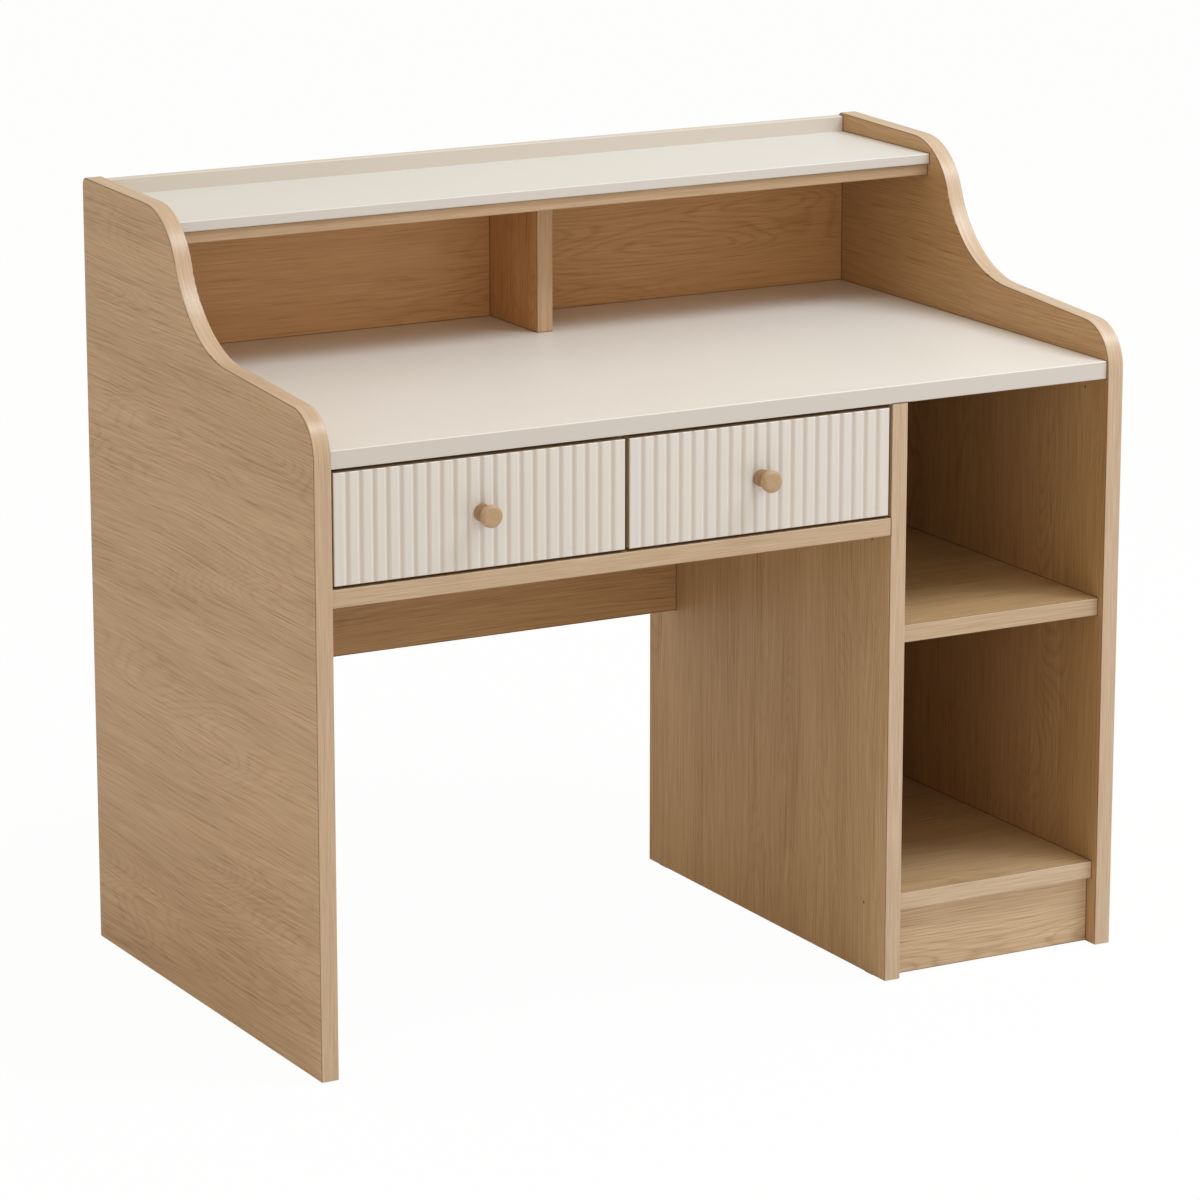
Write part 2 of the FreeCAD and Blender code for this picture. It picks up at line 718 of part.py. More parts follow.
def carcass_joints(boards):
    """Return every dowel and cam joint between the boards of the carcass."""
    left = boards["left_side_panel"]
    right = boards["right_side_panel"]
    partition = boards["partition_panel"]
    across = (INNER_LEFT, INNER_RIGHT)
    cubby = (CUBBY_LEFT, INNER_RIGHT)
    cubby_y = ("cubby_setback", CUBBY_REAR)
    back_middle = f"(({BACK_FACE} + {REAR}) / 2)"
    back_dowels = [("0", back_middle, "(desk_height + short_inset)"),
                   ("0", back_middle, f"({HUTCH_CEILING} - short_inset)")]
    plinth_dowels = [("0", PLINTH_MIDDLE, f"({PANEL_FOOT} + plinth_height * {share})")
                     for share in (0.25, 0.75)]
    return [
        *level_joints(boards["desk_top"], left, right, across, ("front_setback", BACK_FACE),
                      (DESK_UNDER, "desk_height")),
        *level_joints(boards["hutch_shelf_board"], left, right, across, (SHELF_FRONT, REAR),
                      (HUTCH_CEILING, HUTCH_TOP_UNDER)),
        *level_joints(boards["drawer_floor_board"], left, partition, (INNER_LEFT, BAY_RIGHT),
                      ("front_setback", PARTITION_REAR), (FLOOR_BOARD_UNDER, BAY_FLOOR)),
        *level_joints(boards["cubby_shelf"], partition, right, cubby, cubby_y,
                      (CUBBY_SHELF_UNDER, CUBBY_SHELF)),
        *level_joints(boards["cubby_bottom_board"], partition, right, cubby, cubby_y,
                      (CUBBY_BOTTOM_UNDER, CUBBY_BOTTOM)),
        *rail_joints(boards),
        *both_ends(boards["hutch_back_panel"], left, right, across, back_dowels),
        *both_ends(boards["cubby_plinth"], partition, right, cubby, plinth_dowels),
        *upright_joints(boards),
    ]


def is_upright(edge):
    """Say whether an edge runs straight up."""
    return near(edge.BoundBox.XLength, 0) and near(edge.BoundBox.YLength, 0)


def make_glides():
    """Put a flat glide under each end of the three uprights that stand on the floor."""
    length = number("glide_length")
    width = number("glide_width")
    uprights = (
        ("board / 2", "panel_depth"),
        (f"{BAY_RIGHT} + board / 2", PARTITION_REAR),
        (f"{INNER_RIGHT} + board / 2", "panel_depth"),
    )
    shapes = []
    for middle, rear in uprights:
        for front in ("glide_front_inset", f"{rear} - glide_rear_inset - glide_length"):
            start = Vector(number(middle) - width / 2, number(front), 0)
            glide = Part.makeBox(width, length, number("glide_height"), start)
            corners = [edge for edge in glide.Edges if is_upright(edge)]
            shapes.append(glide.makeFillet(number("glide_corner_radius"), corners))
    make_group("floor_glides", shapes)


def screw_hutch_top(boards):
    """Screw the hutch top board down from under the hutch shelf board."""
    shelf = boards["hutch_shelf_board"]
    count = int(number("top_screw_count"))
    middle = f"(({SHELF_FRONT} + {REAR}) / 2)"
    head = f"({HUTCH_CEILING} + screw_head_height)"
    pitch = f"(overall_width - 2 * board) / {count}"
    points = [(f"(board + {pitch} * {index + 0.5})", middle, head) for index in range(count)]
    drill(shelf, "+z", HUTCH_CEILING, points, HEAD_HOLE, "screw_head_height")
    drill(shelf, "+z", head, points, SCREW_HOLE, "hutch_shelf_board")
    drill(boards["hutch_top_board"], "+z", HUTCH_TOP_UNDER, points, SCREW_HOLE,
          f"{head} + top_screw_length + hole_fit - {HUTCH_TOP_UNDER}")
    screw = make_screw("top_screw_length")
    make_group("hutch_top_screws", [laid(screw, "+z", point) for point in points])


def screw_cubby_back(boards):
    """Screw the cubby back panel to the rear edges of the cubby's two level boards."""
    back = boards["cubby_back_panel"]
    head = f"({PARTITION_REAR} - screw_head_height)"
    reach = f"{CUBBY_REAR} - {head} + panel_screw_length + hole_fit"
    levels = {
        "cubby_shelf": f"({CUBBY_SHELF} - board / 2)",
        "cubby_bottom_board": f"({CUBBY_BOTTOM} - board / 2)",
    }
    points = []
    for name, level in levels.items():
        row = [(f"({CUBBY_LEFT} + row_inset)", head, level),
               (f"({INNER_RIGHT} - row_inset)", head, level)]
        drill(boards[name], "-y", CUBBY_REAR, row, SCREW_HOLE, reach)
        points += row
    drill(back, "-y", PARTITION_REAR, points, HEAD_HOLE, "screw_head_height")
    drill(back, "-y", head, points, SCREW_HOLE, "cubby_back_board")
    screw = make_screw("panel_screw_length")
    make_group("cubby_back_screws", [laid(screw, "-y", point) for point in points])


def dowel_gallery(boards):
    """Dowel the gallery rail down to the hutch shelf board, behind the hutch top board."""
    middle = f"({REAR} - gallery_board / 2)"
    places = ("(board + row_inset)", "(overall_width / 2)", f"({INNER_RIGHT} - row_inset)")
    points = [(place, middle, HUTCH_TOP_UNDER) for place in places]
    hole = "box_dowel_diameter + 2 * hole_fit"
    sunk = "(box_dowel_length - box_dowel_in_rail)"
    drill(boards["hutch_shelf_board"], "-z", HUTCH_TOP_UNDER, points, hole,
          f"{sunk} + hole_fit")
    drill(boards["hutch_gallery_rail"], "+z", HUTCH_TOP_UNDER, points, hole,
          "box_dowel_in_rail + hole_fit")
    dowel = make_dowel("box_dowel_diameter", "box_dowel_length", sunk)
    make_group("gallery_dowels", [laid(dowel, "+z", point) for point in points])


# ---------------------------------------------------------------- drawers

def make_channel(label, web, mouth, middle, height, start):
    """Make a slide member: a channel whose web and mouth are levels of x."""
    body = new_body(label)
    sketch = new_sketch(body, "y", start)
    sign = "+" if number(mouth) > number(web) else "-"
    inside = f"({web} {sign} slide_metal)"
    low = f"({middle} - {height} / 2)"
    high = f"({middle} + {height} / 2)"
    draw_outline(sketch, [
        (web, low), (mouth, low), (mouth, f"({low} + slide_metal)"),
        (inside, f"({low} + slide_metal)"), (inside, f"({high} - slide_metal)"),
        (mouth, f"({high} - slide_metal)"), (mouth, high), (web, high),
    ])
    pad(body, sketch, "slide_length", against_normal=True)
    return body


def make_knob(label, x, z):
    """Turn a knob: a flat base, a narrow neck and a rounded head, bored for its screw."""
    body = new_body(label, (x, "front_setback", z))
    body.Placement.Rotation = Rotation(Vector(1, 0, 0), 180)
    sketch = new_sketch(body, "z", "0")
    base = "(knob_base_diameter / 2)"
    neck = "(knob_neck_diameter / 2)"
    head = "(knob_head_diameter / 2)"
    bore = "(knob_screw_diameter / 2 + hole_fit)"
    bore_end = "(knob_screw_length - drawer_front + hole_fit)"
    shoulder = "(knob_projection - knob_head_thickness)"
    draw_outline(sketch, [
        (bore, "0"), (base, "0"), (base, "knob_base_thickness"),
        (neck, "(knob_base_thickness + knob_neck_flare)"), (neck, shoulder),
        (head, shoulder), (head, "knob_projection"), ("0", "knob_projection"),
        ("0", bore_end), (bore, bore_end),
    ])
    turning = body.newObject("PartDesign::Revolution", f"{label}_turning")
    turning.Profile = sketch
    turning.ReferenceAxis = (sketch, ["V_Axis"])
    document.recompute()
    rim = number(head)

    def is_rim(start, end):
        return near(math.hypot(start.x, start.z), rim) and near(start.y, end.y)

    round_edges(body, turning, "min(knob_head_radius; 0.45 * knob_head_thickness)",
                edge_names(turning.Shape, is_rim))


def flute(body, x, z):
    """Cut round-bottomed upright grooves between the ribs of a drawer front."""
    width = f"({x[1]} - {x[0]})"
    ribs = f"round({width} / flute_pitch)"
    pitch = f"({width} / {ribs})"
    radius = "((flute_groove ^ 2 / 4 + flute_depth ^ 2) / (2 * flute_depth))"
    sketch = new_sketch(body, "z", z[0])
    draw_circle(sketch, (f"({x[0]} + {pitch})", f"(front_setback + flute_depth - {radius})"),
                f"2 * {radius}")
    groove = sink(body, sketch, "+z", f"{z[1]} - {z[0]}")
    pattern = body.newObject("PartDesign::LinearPattern", f"{body.Name}_flutes")
    pattern.Originals = [groove]
    pattern.Direction = (sketch, ["H_Axis"])
    pattern.setExpression("Occurrences", in_sheet(f"{ribs} - 1"))
    pattern.setExpression("Length", in_sheet(f"{pitch} * ({ribs} - 2)"))
    body.Tip = pattern
    document.recompute()


class Drawer:
    """One drawer: its fluted front, box, knob, slides and fittings."""

    def __init__(self, name, front, bay, walls):
        """Lay the drawer out from its front, its bay and the boards either side of it."""
        self.name = name
        self.front = front
        self.bay = bay
        self.walls = walls
        self.front_z = (f"({BAY_FLOOR} + gap_below)", f"({DESK_UNDER} - gap_above)")
        self.x = (f"({bay[0]} + slide_room)", f"({bay[1]} - slide_room)")
        self.inner = (f"({self.x[0]} + box_board)", f"({self.x[1]} - box_board)")
        self.y = (FRONT_BACK, f"({FRONT_BACK} + slide_setback + slide_length + box_overhang)")
        self.z = (f"({BAY_FLOOR} + box_lift)", f"({DESK_UNDER} - box_headroom)")
        self.back = (f"({self.y[1]} - box_board)", self.y[1])
        self.slide_y = f"({FRONT_BACK} + slide_setback)"
        self.slide_z = f"(({self.z[0]} + {self.z[1]}) / 2)"
        self.boards = {}

    def label(self, piece):
        """Return the name of one of this drawer's pieces."""
        return f"{self.name}_{piece}"

    def make_front(self):
        """Make the fluted front with softly rounded edges round its face."""
        body = make_board(self.label("front"), self.front, ("front_setback", FRONT_BACK),
                          self.front_z)
        face = number("front_setback")

        def is_on_face(start, end):
            return near(start.y, face) and near(end.y, face)

        round_edges(body, body.Tip, "front_edge_radius", edge_names(body.Tip.Shape, is_on_face))
        flute(body, self.front, self.front_z)
        self.boards["front"] = body

    def make_box(self):
        """Make the two sides, the back and the bottom, which runs in grooves all round."""
        low = f"({self.z[0]} + bottom_lift)"
        bottom_x = (f"({self.inner[0]} - groove_depth)", f"({self.inner[1]} + groove_depth)")
        bottom_y = (f"({self.y[0]} - groove_depth)", f"({self.back[0]} + groove_depth)")
        groove_x = (f"({bottom_x[0]} - hole_fit)", f"({bottom_x[1]} + hole_fit)")
        groove_y = (self.y[0], f"({bottom_y[1]} + hole_fit)")
        groove_z = (low, f"({low} + box_bottom + hole_fit)")
        depth = "groove_depth + hole_fit"
        left = make_board(self.label("left_side"), (self.x[0], self.inner[0]), self.y, self.z)
        right = make_board(self.label("right_side"), (self.inner[1], self.x[1]), self.y, self.z)
        back = make_board(self.label("back"), self.inner, self.back, self.z)
        make_board(self.label("bottom"), bottom_x, bottom_y, (low, f"({low} + box_bottom)"))
        mill(left, "-x", self.inner[0], groove_y, groove_z, depth)
        mill(right, "+x", self.inner[1], groove_y, groove_z, depth)
        mill(back, "+y", self.back[0], self.inner, groove_z, depth)
        mill(self.boards["front"], "-y", self.y[0], groove_x, groove_z, depth)
        self.boards.update(left_side=left, right_side=right, back=back)

    def join_front(self):
        """Dowel the two sides to the front."""
        middles = {
            "left_side": f"({self.x[0]} + box_board / 2)",
            "right_side": f"({self.x[1]} - box_board / 2)",
        }
        hole = "box_dowel_diameter + 2 * hole_fit"
        dowel = make_dowel("box_dowel_diameter", "box_dowel_length", "box_dowel_in_front")
        dowels = []
        for side, middle in middles.items():
            points = [(middle, self.y[0], level) for level in self.joint_levels()]
            drill(self.boards["front"], "-y", self.y[0], points, hole,
                  "box_dowel_in_front + hole_fit")
            drill(self.boards[side], "+y", self.y[0], points, hole,
                  "box_dowel_length - box_dowel_in_front + hole_fit")
            dowels += [laid(dowel, "+y", point) for point in points]
        make_group(self.label("front_dowels"), dowels)

    def join_back(self):
        """Screw the two sides to the ends of the back."""
        middle = f"({self.y[1]} - box_board / 2)"
        screw = make_screw("panel_screw_length")
        screws = []
        for side, outer, travel in (("left_side", self.x[0], "+x"),
                                    ("right_side", self.x[1], "-x")):
            head = f"({outer} {travel[0]} screw_head_height)"
            inner = f"({outer} {travel[0]} box_board)"
            points = [(head, middle, level) for level in self.joint_levels()]
            drill(self.boards[side], travel, outer, points, HEAD_HOLE, "screw_head_height")
            drill(self.boards[side], travel, head, points, SCREW_HOLE, "box_board")
            drill(self.boards["back"], travel, inner, points, SCREW_HOLE,
                  "panel_screw_length + screw_head_height - box_board + hole_fit")
            screws += [laid(screw, travel, point) for point in points]
        make_group(self.label("back_screws"), screws)

    def joint_levels(self):
        """Return the two heights of the dowels and screws at the corners of the box."""
        return f"({self.z[0]} + box_joint_inset)", f"({self.z[1]} - box_joint_inset)"

    def make_handle(self):
        """Make the knob, and the screw that holds it through the front."""
        x = f"(({self.front[0]} + {self.front[1]}) / 2)"
        z = f"(({self.front_z[0]} + {self.front_z[1]}) / 2)"
        point = (x, self.y[0], z)
        drill(self.boards["front"], "-y", self.y[0], [point],
              "knob_screw_diameter + 2 * hole_fit", "drawer_front")
        make_knob(self.label("knob"), x, z)
        screw = make_screw("knob_screw_length", "knob_screw_diameter", "knob_screw_head")
        make_group(self.label("knob_screw"), [laid(screw, "-y", point)])

    def make_slides(self):
        """Make a three-member slide on each side of the box, screwed down at both ends."""
        cabinet_screws = []
        box_screws = []
        heights = ["cabinet_member_height"]
        for _ in range(2):
            heights.append(f"({heights[-1]} - 2 * slide_metal - 2 * slide_clearance)")
        for side, wall, inward in (("left", self.bay[0], "+x"), ("right", self.bay[1], "-x")):
            outward = OPPOSITE[inward]
            start = f"({wall} {inward[0]} middle_member_start)"
            web = f"({wall} {inward[0]} slide_room)"
            cabinet = make_channel(
                self.label(f"cabinet_slide_{side}"), wall,
                f"({wall} {inward[0]} cabinet_member_depth)",
                self.slide_z, heights[0], self.slide_y)
            make_channel(
                self.label(f"middle_slide_{side}"), start,
                f"({start} {inward[0]} middle_member_depth)",
                self.slide_z, heights[1], self.slide_y)
            member = make_channel(
                self.label(f"box_slide_{side}"), web,
                f"({web} {outward[0]} drawer_member_depth)",
                self.slide_z, heights[2], self.slide_y)
            cabinet_screws += self.screw_member(cabinet, self.walls[side], wall, outward)
            box_screws += self.screw_member(member, self.boards[f"{side}_side"], web, inward)
        make_group(self.label("cabinet_slide_screws"), cabinet_screws)
        make_group(self.label("box_slide_screws"), box_screws)

    def screw_member(self, member, wood, face, travel):
        """Screw a slide member through its web to the face of the wood behind it."""
        head = f"({face} {OPPOSITE[travel][0]} slide_metal)"
        ends = (f"({self.slide_y} + slide_screw_inset)",
                f"({self.slide_y} + slide_length - slide_screw_inset)")
        points = [(head, end, self.slide_z) for end in ends]
        drill(member, travel, head, points, SCREW_HOLE, "slide_metal")
        drill(wood, travel, face, points, SCREW_HOLE,
              "slide_screw_length - slide_metal + hole_fit")
        screw = make_screw("slide_screw_length")
        return [laid(screw, travel, point) for point in points]

    def make(self):
        """Make every piece of the drawer."""
        self.make_front()
        self.make_box()
        self.join_front()
        self.join_back()
        self.make_handle()
        self.make_slides()


def make_drawers(boards):
    """Make the two drawers in their bays either side of the drawer divider."""
    left = boards["left_side_panel"]
    divider = boards["drawer_divider_panel"]
    partition = boards["partition_panel"]
    left_front = ("(board + side_gap)", f"({SPLIT} - middle_gap / 2)")
    right_front = (f"({SPLIT} + middle_gap / 2)", f"({BAY_RIGHT} - side_gap)")
    Drawer("left_drawer", left_front, (INNER_LEFT, SPLIT_LEFT),
           {"left": left, "right": divider}).make()
    Drawer("right_drawer", right_front, (SPLIT_RIGHT, BAY_RIGHT),
           {"left": divider, "right": partition}).make()


# ---------------------------------------------------------------- the whole desk

def check_document():
    """Stop if any object failed, or if any node isn't a sound solid."""
    for item in document.Objects:
        if "Invalid" in item.State or "Error" in item.State:
            raise ValueError(f"{item.Label} failed: {item.State}")
    for node in nodes:
        if node.Shape.isNull() or not node.Shape.isValid() or not node.Shape.Solids:
            raise ValueError(f"{node.Label} isn't a sound solid")


def write_steps():
    """Write each node's shape to a STEP file of its own."""
    os.makedirs("parts", exist_ok=True)
    for node in nodes:
        node.Shape.exportStep(f"parts/{node.Label}.step")


sizes = make_sheet()
carcass = make_carcass()
for joint in carcass_joints(carcass):
    joint.fasten()
screw_hutch_top(carcass)
screw_cubby_back(carcass)
dowel_gallery(carcass)
make_drawers(carcass)
make_glides()
make_group("cam_bolts", cam_bolts)
make_group("cam_locks", cam_locks)
make_group("wood_dowels", wood_dowels)
document.recompute()
check_document()
write_steps()
print(f"{len(nodes)} nodes written")
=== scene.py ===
"""Finishes, fluted drawer fronts, screws, studio and camera for a student desk with a hutch."""

import logging
import math
import random
from collections.abc import Callable
from dataclasses import dataclass, field
from enum import Enum

import bmesh
import bpy
import numpy as np
from bpy.types import ID, Material, Mesh, Node, NodeSocket, NodeTree, Object
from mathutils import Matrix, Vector


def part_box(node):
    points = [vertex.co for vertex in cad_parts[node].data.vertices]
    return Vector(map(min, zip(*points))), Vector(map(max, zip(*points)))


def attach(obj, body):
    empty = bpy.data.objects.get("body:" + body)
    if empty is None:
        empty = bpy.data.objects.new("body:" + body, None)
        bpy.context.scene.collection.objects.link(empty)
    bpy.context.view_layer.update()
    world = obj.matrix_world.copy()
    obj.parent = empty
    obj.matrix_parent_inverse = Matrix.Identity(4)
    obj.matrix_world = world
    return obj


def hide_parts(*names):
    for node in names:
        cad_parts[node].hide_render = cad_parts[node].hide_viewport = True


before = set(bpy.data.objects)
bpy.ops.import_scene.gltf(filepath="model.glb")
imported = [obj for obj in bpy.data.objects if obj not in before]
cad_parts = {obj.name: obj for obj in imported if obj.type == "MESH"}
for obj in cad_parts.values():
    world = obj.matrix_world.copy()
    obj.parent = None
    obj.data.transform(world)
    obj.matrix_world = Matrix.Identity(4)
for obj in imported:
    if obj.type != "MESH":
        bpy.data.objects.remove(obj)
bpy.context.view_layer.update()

log = logging.getLogger("student_desk")

Triple = tuple[float, float, float]
Colour = Triple
Inputs = dict[int | str, object]

MM = 0.001
TOUCH = 0.3 * MM
WELD = 0.001 * MM
# painted contact shade: thin dark lines where boards meet
JOINT_SHADE_COLOUR: Colour = (0.070, 0.038, 0.018)
JOINT_SHADE_STRENGTH = 0.75
JOINT_SHADE_REACH = 1.2 * MM
SEAM_COLOUR: Colour = (0.130, 0.072, 0.036)
SEAM_STRENGTH = 0.80
SEAM_FACING = ((0.74, 0.88), (0.995, 0.9998))
BAND_FACING = (0.86, 0.95)
KNOT_COLOUR: Colour = (0.10, 0.055, 0.028)
KNOT_RADIUS = 1.8 * MM
BUMP_STRENGTH = 0.6
IOR = 1.45
WHITE: Colour = (1.0, 1.0, 1.0)


# ---- node trees

def maths(operation: str, swapped: bool = False) -> Callable[..., "Signal"]:
    """Make an operator of signals.

    Args:
        operation: the Math node's operation.
        swapped: whether the operator's owner is the second value.

    Returns:
        The operator, which adds the node to the signal's tree.
    """
    def operator(self: "Signal", other: object = 0.0) -> "Signal":
        """Return the node's value."""
        values = (other, self) if swapped else (self, other)
        return self.tree.calculate(operation, *values)

    return operator


class Signal:
    """A socket of a node tree. Arithmetic on it adds Math nodes to the tree."""

    __add__, __sub__, __mul__ = maths("ADD"), maths("SUBTRACT"), maths("MULTIPLY")
    __rsub__, __truediv__ = maths("SUBTRACT", swapped=True), maths("DIVIDE")
    __lt__, __gt__, __abs__ = maths("LESS_THAN"), maths("GREATER_THAN"), maths("ABSOLUTE")

    def __init__(self, tree: "Tree", socket: NodeSocket) -> None:
        """Keep the tree and the socket."""
        self.tree, self.socket = tree, socket


class Tree:
    """A shader or geometry node tree that is filled one node at a time."""

    def __init__(self, tree: NodeTree) -> None:
        """Keep the node tree to fill."""
        self.tree = tree

    def add(self, kind: str, inputs: Inputs | None = None, **settings: object) -> Node:
        """Add a node, set its properties and feed its sockets.

        Args:
            kind: the node's type, such as ShaderNodeMath.
            inputs: a signal or a constant for each input, by name or number.
            settings: the node's own properties.

        Returns:
            The new node.
        """
        node = self.tree.nodes.new(kind)
        for name, value in settings.items():
            setattr(node, name, value)
        for key, value in (inputs or {}).items():
            self.feed(node.inputs[key], value)
        return node

    def out(self, kind: str, inputs: Inputs | None = None, output: int | str = 0,
            **settings: object) -> Signal:
        """Add a node and return one of its outputs."""
        return Signal(self, self.add(kind, inputs, **settings).outputs[output])

    def feed(self, socket: NodeSocket, value: object) -> None:
        """Link a value to a socket, or set the socket's constant.

        Args:
            socket: the input to feed.
            value: a signal, an output socket, a constant that suits the input, or several
                signals for an input that joins them.
        """
        sources = value if socket.is_multi_input else (value,)
        for source in sources:
            source = getattr(source, "socket", source)
            if isinstance(source, NodeSocket):
                self.tree.links.new(source, socket)
            else:
                socket.default_value = (*source, 1.0) if socket.type == "RGBA" else source

    def calculate(self, operation: str, *values: object) -> Signal:
        """Return the result of a Math node."""
        return self.out("ShaderNodeMath", dict(enumerate(values)), operation=operation)

    def least(self, first: object, second: object) -> Signal:
        """Return the smaller of two values."""
        return self.calculate("MINIMUM", first, second)

    def most(self, first: object, second: object) -> Signal:
        """Return the greater of two values."""
        return self.calculate("MAXIMUM", first, second)

    def vector(self, operation: str, *values: object, output: int | str = 0) -> Signal:
        """Return one output of a Vector Math node."""
        return self.out("ShaderNodeVectorMath", dict(enumerate(values)), output,
                        operation=operation)

    def split(self, vector: object) -> list[Signal]:
        """Return the three parts of a vector."""
        node = self.add("ShaderNodeSeparateXYZ", {0: vector})
        return [Signal(self, part) for part in node.outputs]

    def join(self, x: object = 0.0, y: object = 0.0, z: object = 0.0) -> Signal:
        """Return a vector made of three parts."""
        return self.out("ShaderNodeCombineXYZ", {0: x, 1: y, 2: z})

    def noise(self, place: Signal, cells: object, detail: float, rough: float = 0.5) -> Signal:
        """Return a noise from 0 to 1, with its cells counted to the metre each way."""
        return self.out("ShaderNodeTexNoise", {
            "Vector": self.vector("MULTIPLY", place, cells), "Scale": 1.0, "Detail": detail,
            "Roughness": rough,
        })

    def remap(self, value: Signal, low: float, high: float, start: float = 0.0,
              end: float = 1.0) -> Signal:
        """Ease a value from the range low to high to the range start to end, held at both."""
        return self.out("ShaderNodeMapRange", {0: value, 1: low, 2: high, 3: start, 4: end},
                        interpolation_type="SMOOTHSTEP")

    def mix(self, share: object, first: object, second: object, blend: str = "MIX") -> Signal:
        """Return the first colour with a share of the second laid on it."""
        return self.out("ShaderNodeMix", {0: share, 6: first, 7: second}, 2, data_type="RGBA",
                        blend_type=blend, clamp_factor=False)

    def effect(self, group: NodeTree, inputs: Inputs) -> dict[str, Signal]:
        """Place a node group and return its outputs by name."""
        node = self.add("ShaderNodeGroup", inputs, node_tree=group)
        return {socket.name: Signal(self, socket) for socket in node.outputs}


def emptied(owner: ID) -> Tree:
    """Switch on the nodes of a material or a world and clear them.

    Args:
        owner: the material or the world.

    Returns:
        Its empty tree.
    """
    owner.use_nodes = True
    owner.node_tree.nodes.clear()
    return Tree(owner.node_tree)


class Ports:
    """A node group with named inputs and outputs, and the tree between them."""

    def __init__(self, name: str, kind: str, **sockets: tuple[str, ...]) -> None:
        """Make a group with nothing between its inputs and outputs.

        Args:
            name: the group's name.
            kind: Shader or Geometry.
            sockets: the names of the inputs by socket type, such as Float, and of the outputs
                by socket type with to_ before it.
        """
        self.group = bpy.data.node_groups.new(name, f"{kind}NodeTree")
        for label, names in sockets.items():
            way = "OUTPUT" if label.startswith("to_") else "INPUT"
            for socket in names:
                self.group.interface.new_socket(
                    socket, in_out=way, socket_type=f"NodeSocket{label.removeprefix('to_')}")
        self.tree = Tree(self.group)
        given = self.tree.add("NodeGroupInput").outputs
        self.given = {socket.name: Signal(self.tree, socket) for socket in given}
        self.result = self.tree.add("NodeGroupOutput").inputs

    def give(self, **values: Signal) -> NodeTree:
        """Feed the outputs and return the finished group.

        Args:
            values: the signal for each output, by name.

        Returns:
            The node group.
        """
        for name, value in values.items():
            self.tree.feed(self.result[name], value)
        return self.group

    def give_mesh(self, geometry: Signal) -> NodeTree:
        """Feed the Geometry output with real meshes in the Finish, and return the group."""
        real_mesh = self.tree.out("GeometryNodeRealizeInstances", {0: geometry})
        return self.give(Geometry=self.tree.out(
            "GeometryNodeSetMaterial", {"Geometry": real_mesh, "Material": self.given["Finish"]}))


# ---- shared effects

@dataclass(frozen=True)
class OakGrain:
    """The figure of crown-cut oak: tone bands, growth rings, fibres and pores.

    Each layer's cells are counted to the metre along, across and through the grain. Its share
    says how far it moves the tone from the light colour to the dark one.
    """

    sweep_cells: Triple = (2.4, 11.0, 4.0)
    wobble_cells: Triple = (14.0, 70.0, 20.0)
    patch_cells: Triple = (1.3, 8.0, 3.0)
    band_cells: Triple = (1.3, 16.0, 5.0)
    fibre_cells: Triple = (4.5, 560.0, 100.0)
    fleck_cells: Triple = (12.0, 1100.0, 200.0)
    rings: float = 62.0
    ring_sweep: float = 34.0
    ring_wobble: float = 1.1
    ring_sharpness: float = 3.5
    lean: float = 0.026
    figure_share: float = 0.34
    fibre_share: float = 1.10
    fleck_share: float = 2.2
    pore_share: float = 0.45

    def make(self) -> NodeTree:
        """Make the shader group.

        Returns:
            The group. Grain Position is in metres, with the grain along its X.
        """
        ports = Ports("oak_grain", "Shader", Vector=("Grain Position",), Color=("Light", "Dark"),
                      Float=("Figure", "Fibres", "Pores"), to_Color=("Colour",),
                      to_Float=("Height", "Roughness"))
        tree, given = ports.tree, ports.given
        place = given["Grain Position"]
        sweep = tree.noise(place, self.sweep_cells, 1.2, 0.4)
        wobble = tree.noise(place, self.wobble_cells, 2.0)
        turns = (tree.split(place)[1] * self.rings + sweep * self.ring_sweep
                 + wobble * self.ring_wobble)
        wave = tree.calculate("COSINE", turns * (2 * math.pi))
        line = tree.calculate("POWER", wave * 0.5 + 0.5, self.ring_sharpness)
        patch = tree.remap(tree.noise(place, self.patch_cells, 1.0), 0.40, 0.62)
        figure = line * patch * given["Figure"]

        band = tree.noise(place, self.band_cells, 3.0, 0.55)
        waved = tree.vector("ADD", place, tree.join(y=(sweep - 0.5) * self.lean))
        fibre = tree.noise(waved, self.fibre_cells, 3.0, 0.62)
        fleck = tree.noise(waved, self.fleck_cells, 2.0, 0.6)
        pores = tree.remap(fleck, 0.56, 0.72) * tree.remap(fibre, 0.42, 0.60, 0.2)
        pores = pores * given["Pores"]
        fibres, flecks = (fibre - 0.5) * given["Fibres"], (fleck - 0.5) * given["Fibres"]
        shade = (tree.remap(band, 0.30, 0.72, 0.18, 0.48) + figure * self.figure_share
                 + fibres * self.fibre_share + flecks * self.fleck_share
                 + pores * self.pore_share)
        held = tree.least(tree.most(shade, -0.4), 1.4)
        return ports.give(Colour=tree.mix(held, given["Light"], given["Dark"]),
                          Height=fibres * 0.5 - pores * 0.8, Roughness=shade * 0.12 + 0.44)


